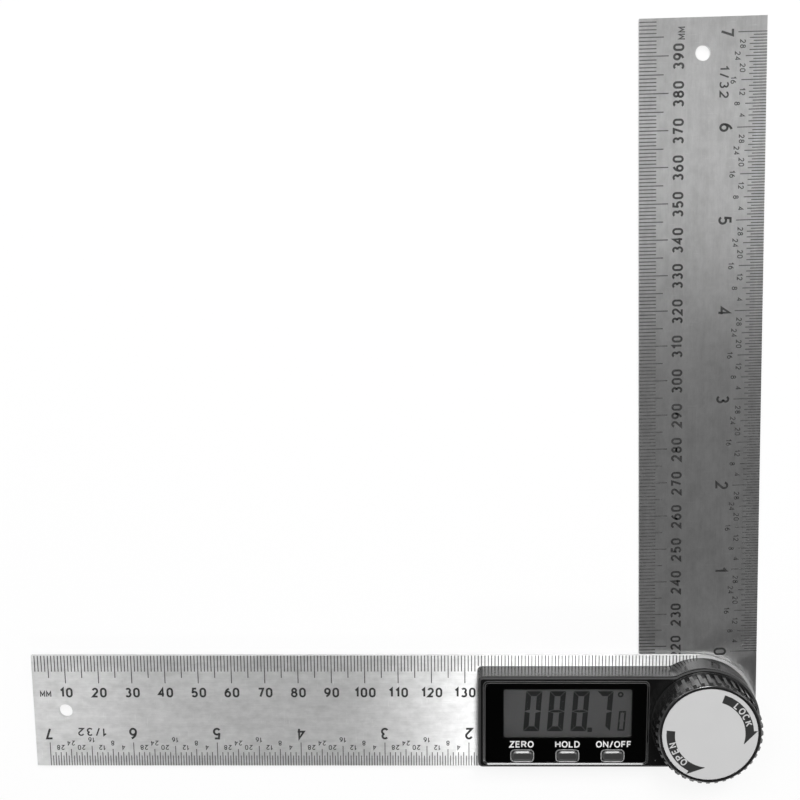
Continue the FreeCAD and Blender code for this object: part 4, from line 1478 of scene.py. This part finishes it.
@dataclass
class Pivot:
    """The hub, its bearing and what turns with it."""

    model: PackedModel

    def build(self, steel: bpy.types.Material, bright: bpy.types.Material, bronze: bpy.types.Material,
              fibre: bpy.types.Material, laminate: bpy.types.Material) -> None:
        """Dresses the pivot.

        Args:
            steel: Turned steel.
            bright: Screws, springs and washers.
            bronze: The bearing bush.
            fibre: The friction washer.
            laminate: The encoder's disc.
        """
        self.model.dress(steel, "pivot_hub", "thrust_washer")
        self.model.dress(bright, "hub_screws", "rotor_retainer", "disc_spring")
        self.model.dress(bronze, "pivot_bush")
        self.model.dress(fibre, "friction_washer")
        self.model.dress(laminate, "encoder_rotor")


@dataclass
class PowerCell:
    """The battery in its cup, with its contacts, its seal and the door underneath."""

    model: PackedModel

    def build(self, moulding: bpy.types.Material, door: bpy.types.Material, case: bpy.types.Material,
              contact: bpy.types.Material, rubber: bpy.types.Material) -> None:
        """Dresses the battery compartment.

        Args:
            moulding: The cup.
            door: The screwed door.
            case: The coin cell's case.
            contact: The sprung contacts.
            rubber: The seal.
        """
        self.model.dress(moulding, "battery_cup")
        self.model.dress(door, "battery_door")
        self.model.dress(case, "battery")
        self.model.dress(contact, "positive_contact", "negative_contact")
        self.model.dress(rubber, "door_seal")


@dataclass
class Housing:
    """The moulded cover and what is fixed inside it."""

    model: PackedModel

    def build(self, gloss: bpy.types.Material, bright: bpy.types.Material, laminate: bpy.types.Material,
              chip: bpy.types.Material, rubber: bpy.types.Material) -> None:
        """Dresses the housing and the board.

        Args:
            gloss: The cover's plastic.
            bright: Screws and snap domes.
            laminate: The circuit board.
            chip: The parts on the board.
            rubber: The contact strip and the pad.
        """
        self.model.dress(gloss, "housing")
        self.model.dress(bright, "housing_screws", "board_screws", "zero_dome", "hold_dome",
                         "power_dome")
        self.model.dress(laminate, "circuit_board")
        self.model.dress(chip, "board_chips")
        self.model.dress(rubber, "zebra_strip", "lcd_backing_pad")


# The studio


@dataclass(frozen=True)
class PhotoCamera:
    """The photograph's camera, from a fit of the printed scales, in degrees and metres."""

    place: tuple[float, float, float] = (-0.07199, 0.14307, 0.32148)
    tilt: float = -9.156
    lean: float = 0.564
    turn: float = -0.26
    lens: float = 50.506
    sensor: float = 36.0
    shift: Point = (-0.05714, 0.01234)

    def build(self) -> None:
        """Makes the camera and gives it to the scene."""
        data = bpy.data.cameras.new("photo_camera")
        data.lens = self.lens
        data.sensor_width = self.sensor
        data.shift_x, data.shift_y = self.shift
        data.clip_start = 0.01
        camera = bpy.data.objects.new("photo_camera", data)
        camera.location = self.place
        camera.rotation_euler = [math.radians(a) for a in (self.tilt, self.lean, self.turn)]
        bpy.context.scene.collection.objects.link(camera)
        bpy.context.scene.camera = camera


@dataclass(frozen=True)
class SoftBox:
    """A soft rectangular lamp that looks at a point."""

    name: str
    place: tuple[float, float, float]
    size: Point
    power: float
    aim: tuple[float, float, float] = (-0.07, 0.06, 0.0)

    def build(self) -> None:
        """Makes the lamp."""
        data = bpy.data.lights.new(self.name, "AREA")
        data.shape = "RECTANGLE"
        data.size, data.size_y = self.size
        data.energy = self.power
        lamp = bpy.data.objects.new(self.name, data)
        lamp.location = self.place
        look = Vector(self.aim) - Vector(self.place)
        lamp.rotation_euler = look.to_track_quat("-Z", "Y").to_euler()
        bpy.context.scene.collection.objects.link(lamp)


@dataclass(frozen=True)
class Studio:
    """A pale floor, soft lamps and a plain surround."""

    lamps: tuple[SoftBox, ...] = (
        SoftBox("back_far_left", (-0.75, 0.75, 1.0), (0.2, 0.3), 1.5),
        SoftBox("back_left", (-0.45, 0.75, 1.0), (0.4, 0.3), 2.5),
        SoftBox("back_middle", (-0.15, 0.75, 1.0), (0.2, 0.3), 0.35),
        SoftBox("back_right", (0.06, 0.76, 1.0), (0.2, 0.4), 8.0),
        SoftBox("back_far_right", (0.18, 0.76, 1.0), (0.06, 0.4), 1.0),
        SoftBox("right_bank", (0.8, 0.25, 0.9), (0.3, 0.32), 1.6),
        SoftBox("front_left", (-0.6, -0.6, 0.75), (0.2, 0.3), 0.7),
        SoftBox("front_strip", (0.02, -0.85, 0.52), (0.26, 0.14), 1.5),
    )
    surround: float = 0.33
    flag_shade: float = 0.03
    flag_direction: tuple[float, float, float] = (0.1, -0.42, 0.9)
    flag_edge: Point = (0.9, 0.965)
    floor_half: float = 3.0
    floor_drop: float = 0.0004
    floor_shade: float = 0.85
    backdrop_share: float = 0.85

    def floor_material(self) -> bpy.types.Material:
        """White paper: white where the camera, a gloss or a window sees it, and lit paper under that."""
        bench = ShaderBench("studio_paper")
        fibre = bench.noise(bench.place(), 900.0, 3.0)
        bench.colour(fibre, grey(self.floor_shade), grey(self.floor_shade * 1.04))
        bench.set(Roughness=0.9)
        seen = bench.node("ShaderNodeLightPath")
        any_ray = bench.maths("MAXIMUM", seen.outputs["Is Camera Ray"], seen.outputs["Is Glossy Ray"])
        any_ray = bench.maths("MAXIMUM", any_ray, seen.outputs["Is Transmission Ray"])
        share = bench.maths("MULTIPLY", any_ray, self.backdrop_share)
        white = bench.node("ShaderNodeEmission")
        mixed = bench.node("ShaderNodeMixShader")
        bench.link(share, mixed.inputs["Fac"])
        bench.link(bench.surface.outputs["BSDF"], mixed.inputs[1])
        bench.link(white.outputs["Emission"], mixed.inputs[2])
        bench.link(mixed.outputs["Shader"], bench.tree.nodes["Material Output"].inputs["Surface"])
        return bench.material

    def build_floor(self) -> None:
        """Lays the floor just under the object."""
        mesh = bpy.data.meshes.new("studio_floor")
        half = self.floor_half
        z = -self.floor_drop
        mesh.from_pydata([(-half, -half, z), (half, -half, z), (half, half, z), (-half, half, z)], [],
                         [(0, 1, 2, 3)])
        mesh.materials.append(self.floor_material())
        floor = bpy.data.objects.new("studio_floor", mesh)
        bpy.context.scene.collection.objects.link(floor)

    def build_surround(self) -> None:
        """A plain surround with a dark flag held over the front, which the camera sees as white."""
        world = bpy.data.worlds.new("studio_surround")
        world.use_nodes = True
        tree = world.node_tree
        light = tree.nodes["Background"]
        light.inputs["Color"].default_value = grey(1.0)
        direction = tree.nodes.new("ShaderNodeTexCoord")
        near = tree.nodes.new("ShaderNodeVectorMath")
        near.operation = "DOT_PRODUCT"
        near.inputs[1].default_value = self.flag_direction
        fall = tree.nodes.new("ShaderNodeMapRange")
        fall.inputs["From Min"].default_value = self.flag_edge[0]
        fall.inputs["From Max"].default_value = self.flag_edge[1]
        fall.inputs["To Min"].default_value = self.surround
        fall.inputs["To Max"].default_value = self.flag_shade
        tree.links.new(direction.outputs["Generated"], near.inputs[0])
        tree.links.new(near.outputs["Value"], fall.inputs["Value"])
        tree.links.new(fall.outputs["Result"], light.inputs["Strength"])
        white = tree.nodes.new("ShaderNodeBackground")
        white.inputs["Color"].default_value = grey(1.0)
        seen = tree.nodes.new("ShaderNodeLightPath")
        mixed = tree.nodes.new("ShaderNodeMixShader")
        tree.links.new(seen.outputs["Is Camera Ray"], mixed.inputs["Fac"])
        tree.links.new(light.outputs["Background"], mixed.inputs[1])
        tree.links.new(white.outputs["Background"], mixed.inputs[2])
        tree.links.new(mixed.outputs["Shader"], tree.nodes["World Output"].inputs["Surface"])
        bpy.context.scene.world = world

    def build(self) -> None:
        """Builds the studio."""
        self.build_floor()
        self.build_surround()
        for lamp in self.lamps:
            lamp.build()
        bpy.context.scene.view_settings.view_transform = "Standard"


# Assembly


def build_rulers(model: PackedModel) -> None:
    """Both rulers with their scales.

    Args:
        model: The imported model.
    """
    lines = PrintInk(0.035, 0.11, 0.45, 900.0).material("etched_line")
    numbers = PrintInk(0.012, 0.04, 0.5, 500.0).material("numeral_ink")
    small = PrintInk(0.025, 0.07, 0.5, 700.0).material("small_numeral_ink")
    low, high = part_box("housing")
    lean = math.radians(SHOWN_ANGLE - 90.0)
    swing_along = (math.sin(lean), math.cos(lean))
    base = Ruler(model, "base_ruler", "base", (-1.0, 0.0), (0.0, 1.0), value_at_pivot=200,
                 value_step=-1, housing_reach=-low[0], housing_half_width=14.25 * MM,
                 round_radius=high[0])
    base.build(BrushedSteel(along=base.along), lines, numbers, small)
    swing = Ruler(model, "swing_ruler", "swing", swing_along, (-swing_along[1], swing_along[0]),
                  value_at_pivot=200, value_step=1, round_radius=16.8 * MM,
                  metric_ticks=(4.75 * MM, 6.75 * MM, 8.1 * MM),
                  inch_ticks=(3.7 * MM, 4.8 * MM, 4.8 * MM, 5.8 * MM, 6.9 * MM, 7.9 * MM),
                  metric_numeral_row=10.85 * MM, inch_numeral_row=10.95 * MM, small_shift=0.5 * MM,
                  metric_lag=0.3 * MM, unit_place=(195.9 * MM, 11.7 * MM))
    swing.build(BrushedSteel(along=swing.along), lines, numbers, small)


def main() -> None:
    """Builds the studio and dresses the instrument, piece by piece."""
    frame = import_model()
    model = PackedModel(frame)
    PhotoCamera().build()
    Studio().build()

    roof = model.top("housing")
    gloss_black = MouldedPlastic(0.004, 0.14, dust=0.5, refraction=1.75,
                                 matte_edge=(roof - 0.28 * MM, roof)).material("gloss_black_moulding")
    grip_black = MouldedPlastic(0.012, 0.17, relief=0.000002,
                                refraction=1.8).material("grip_black_moulding")
    key_grey = MouldedPlastic(0.032, 0.28, refraction=1.7).material("key_grey_plastic")
    inner_black = MouldedPlastic(0.02, 0.5).material("inner_black_moulding")
    chip_black = MouldedPlastic(0.02, 0.45, relief=0.000006).material("chip_black")
    rubber = MouldedPlastic(0.03, 0.75, 1200.0, 0.00001).material("soft_rubber")
    fibre = MouldedPlastic(0.32, 0.7, 1800.0, 0.00001,
                           tint=(1.0, 0.9, 0.74)).material("friction_fibre")
    mask_black = PrintInk(0.0019, 0.0024, 0.6).material("mask_black")
    turned_steel = TurnedMetal().material("turned_steel")
    bronze = TurnedMetal((0.62, 0.44, 0.22, 1.0), 0.32).material("bearing_bronze")
    bright = PlatedMetal().material("bright_steel")
    cell_case = PlatedMetal((0.64, 0.64, 0.63, 1.0), 0.3).material("cell_case")
    contact = PlatedMetal((0.72, 0.62, 0.36, 1.0), 0.22).material("plated_contact")
    laminate = BoardLaminate().material("board_laminate")
    # A light grey for the bead on the key holes' cut edges: a painted highlight on a real edge.
    painted_highlight_edge = MouldedPlastic(0.34, 0.22).material("painted_highlight_edge")
    bevel_black = MouldedPlastic(0.005, 0.13, refraction=1.7).material("bevel_black")
    seam_grey = MouldedPlastic(0.06, 0.3).material("seam_grey")
    foil = LabelFoil().material("label_foil")
    label_ink = PrintInk(0.018, 0.026, 0.45).material("label_ink")
    white_print = PrintInk(0.78, 0.7, 0.5).material("white_print")
    digit_ink = PrintInk(0.008, 0.012, 0.5).material("display_digit")

    build_rulers(model)
    Housing(model).build(gloss_black, bright, laminate, chip_black, rubber)
    ReadOut(model).build(ClearSheet().material("clear_window"), mask_black,
                         DisplayGlass().material("display_field"), digit_ink)
    KeyPad(model).build(key_grey, white_print)
    KeyPad(model).edge_holes(painted_highlight_edge)
    ReadOut(model).trim(bevel_black, seam_grey)
    ReadOut(model).round_view(mask_black)
    LockKnob(model).build(grip_black, turned_steel, foil, label_ink)
    Pivot(model).build(turned_steel, bright, bronze, fibre, laminate)
    PowerCell(model).build(inner_black, grip_black, cell_case, contact, rubber)


if __name__ == "__main__":
    logging.basicConfig(level=logging.INFO, format="%(message)s")
    main()
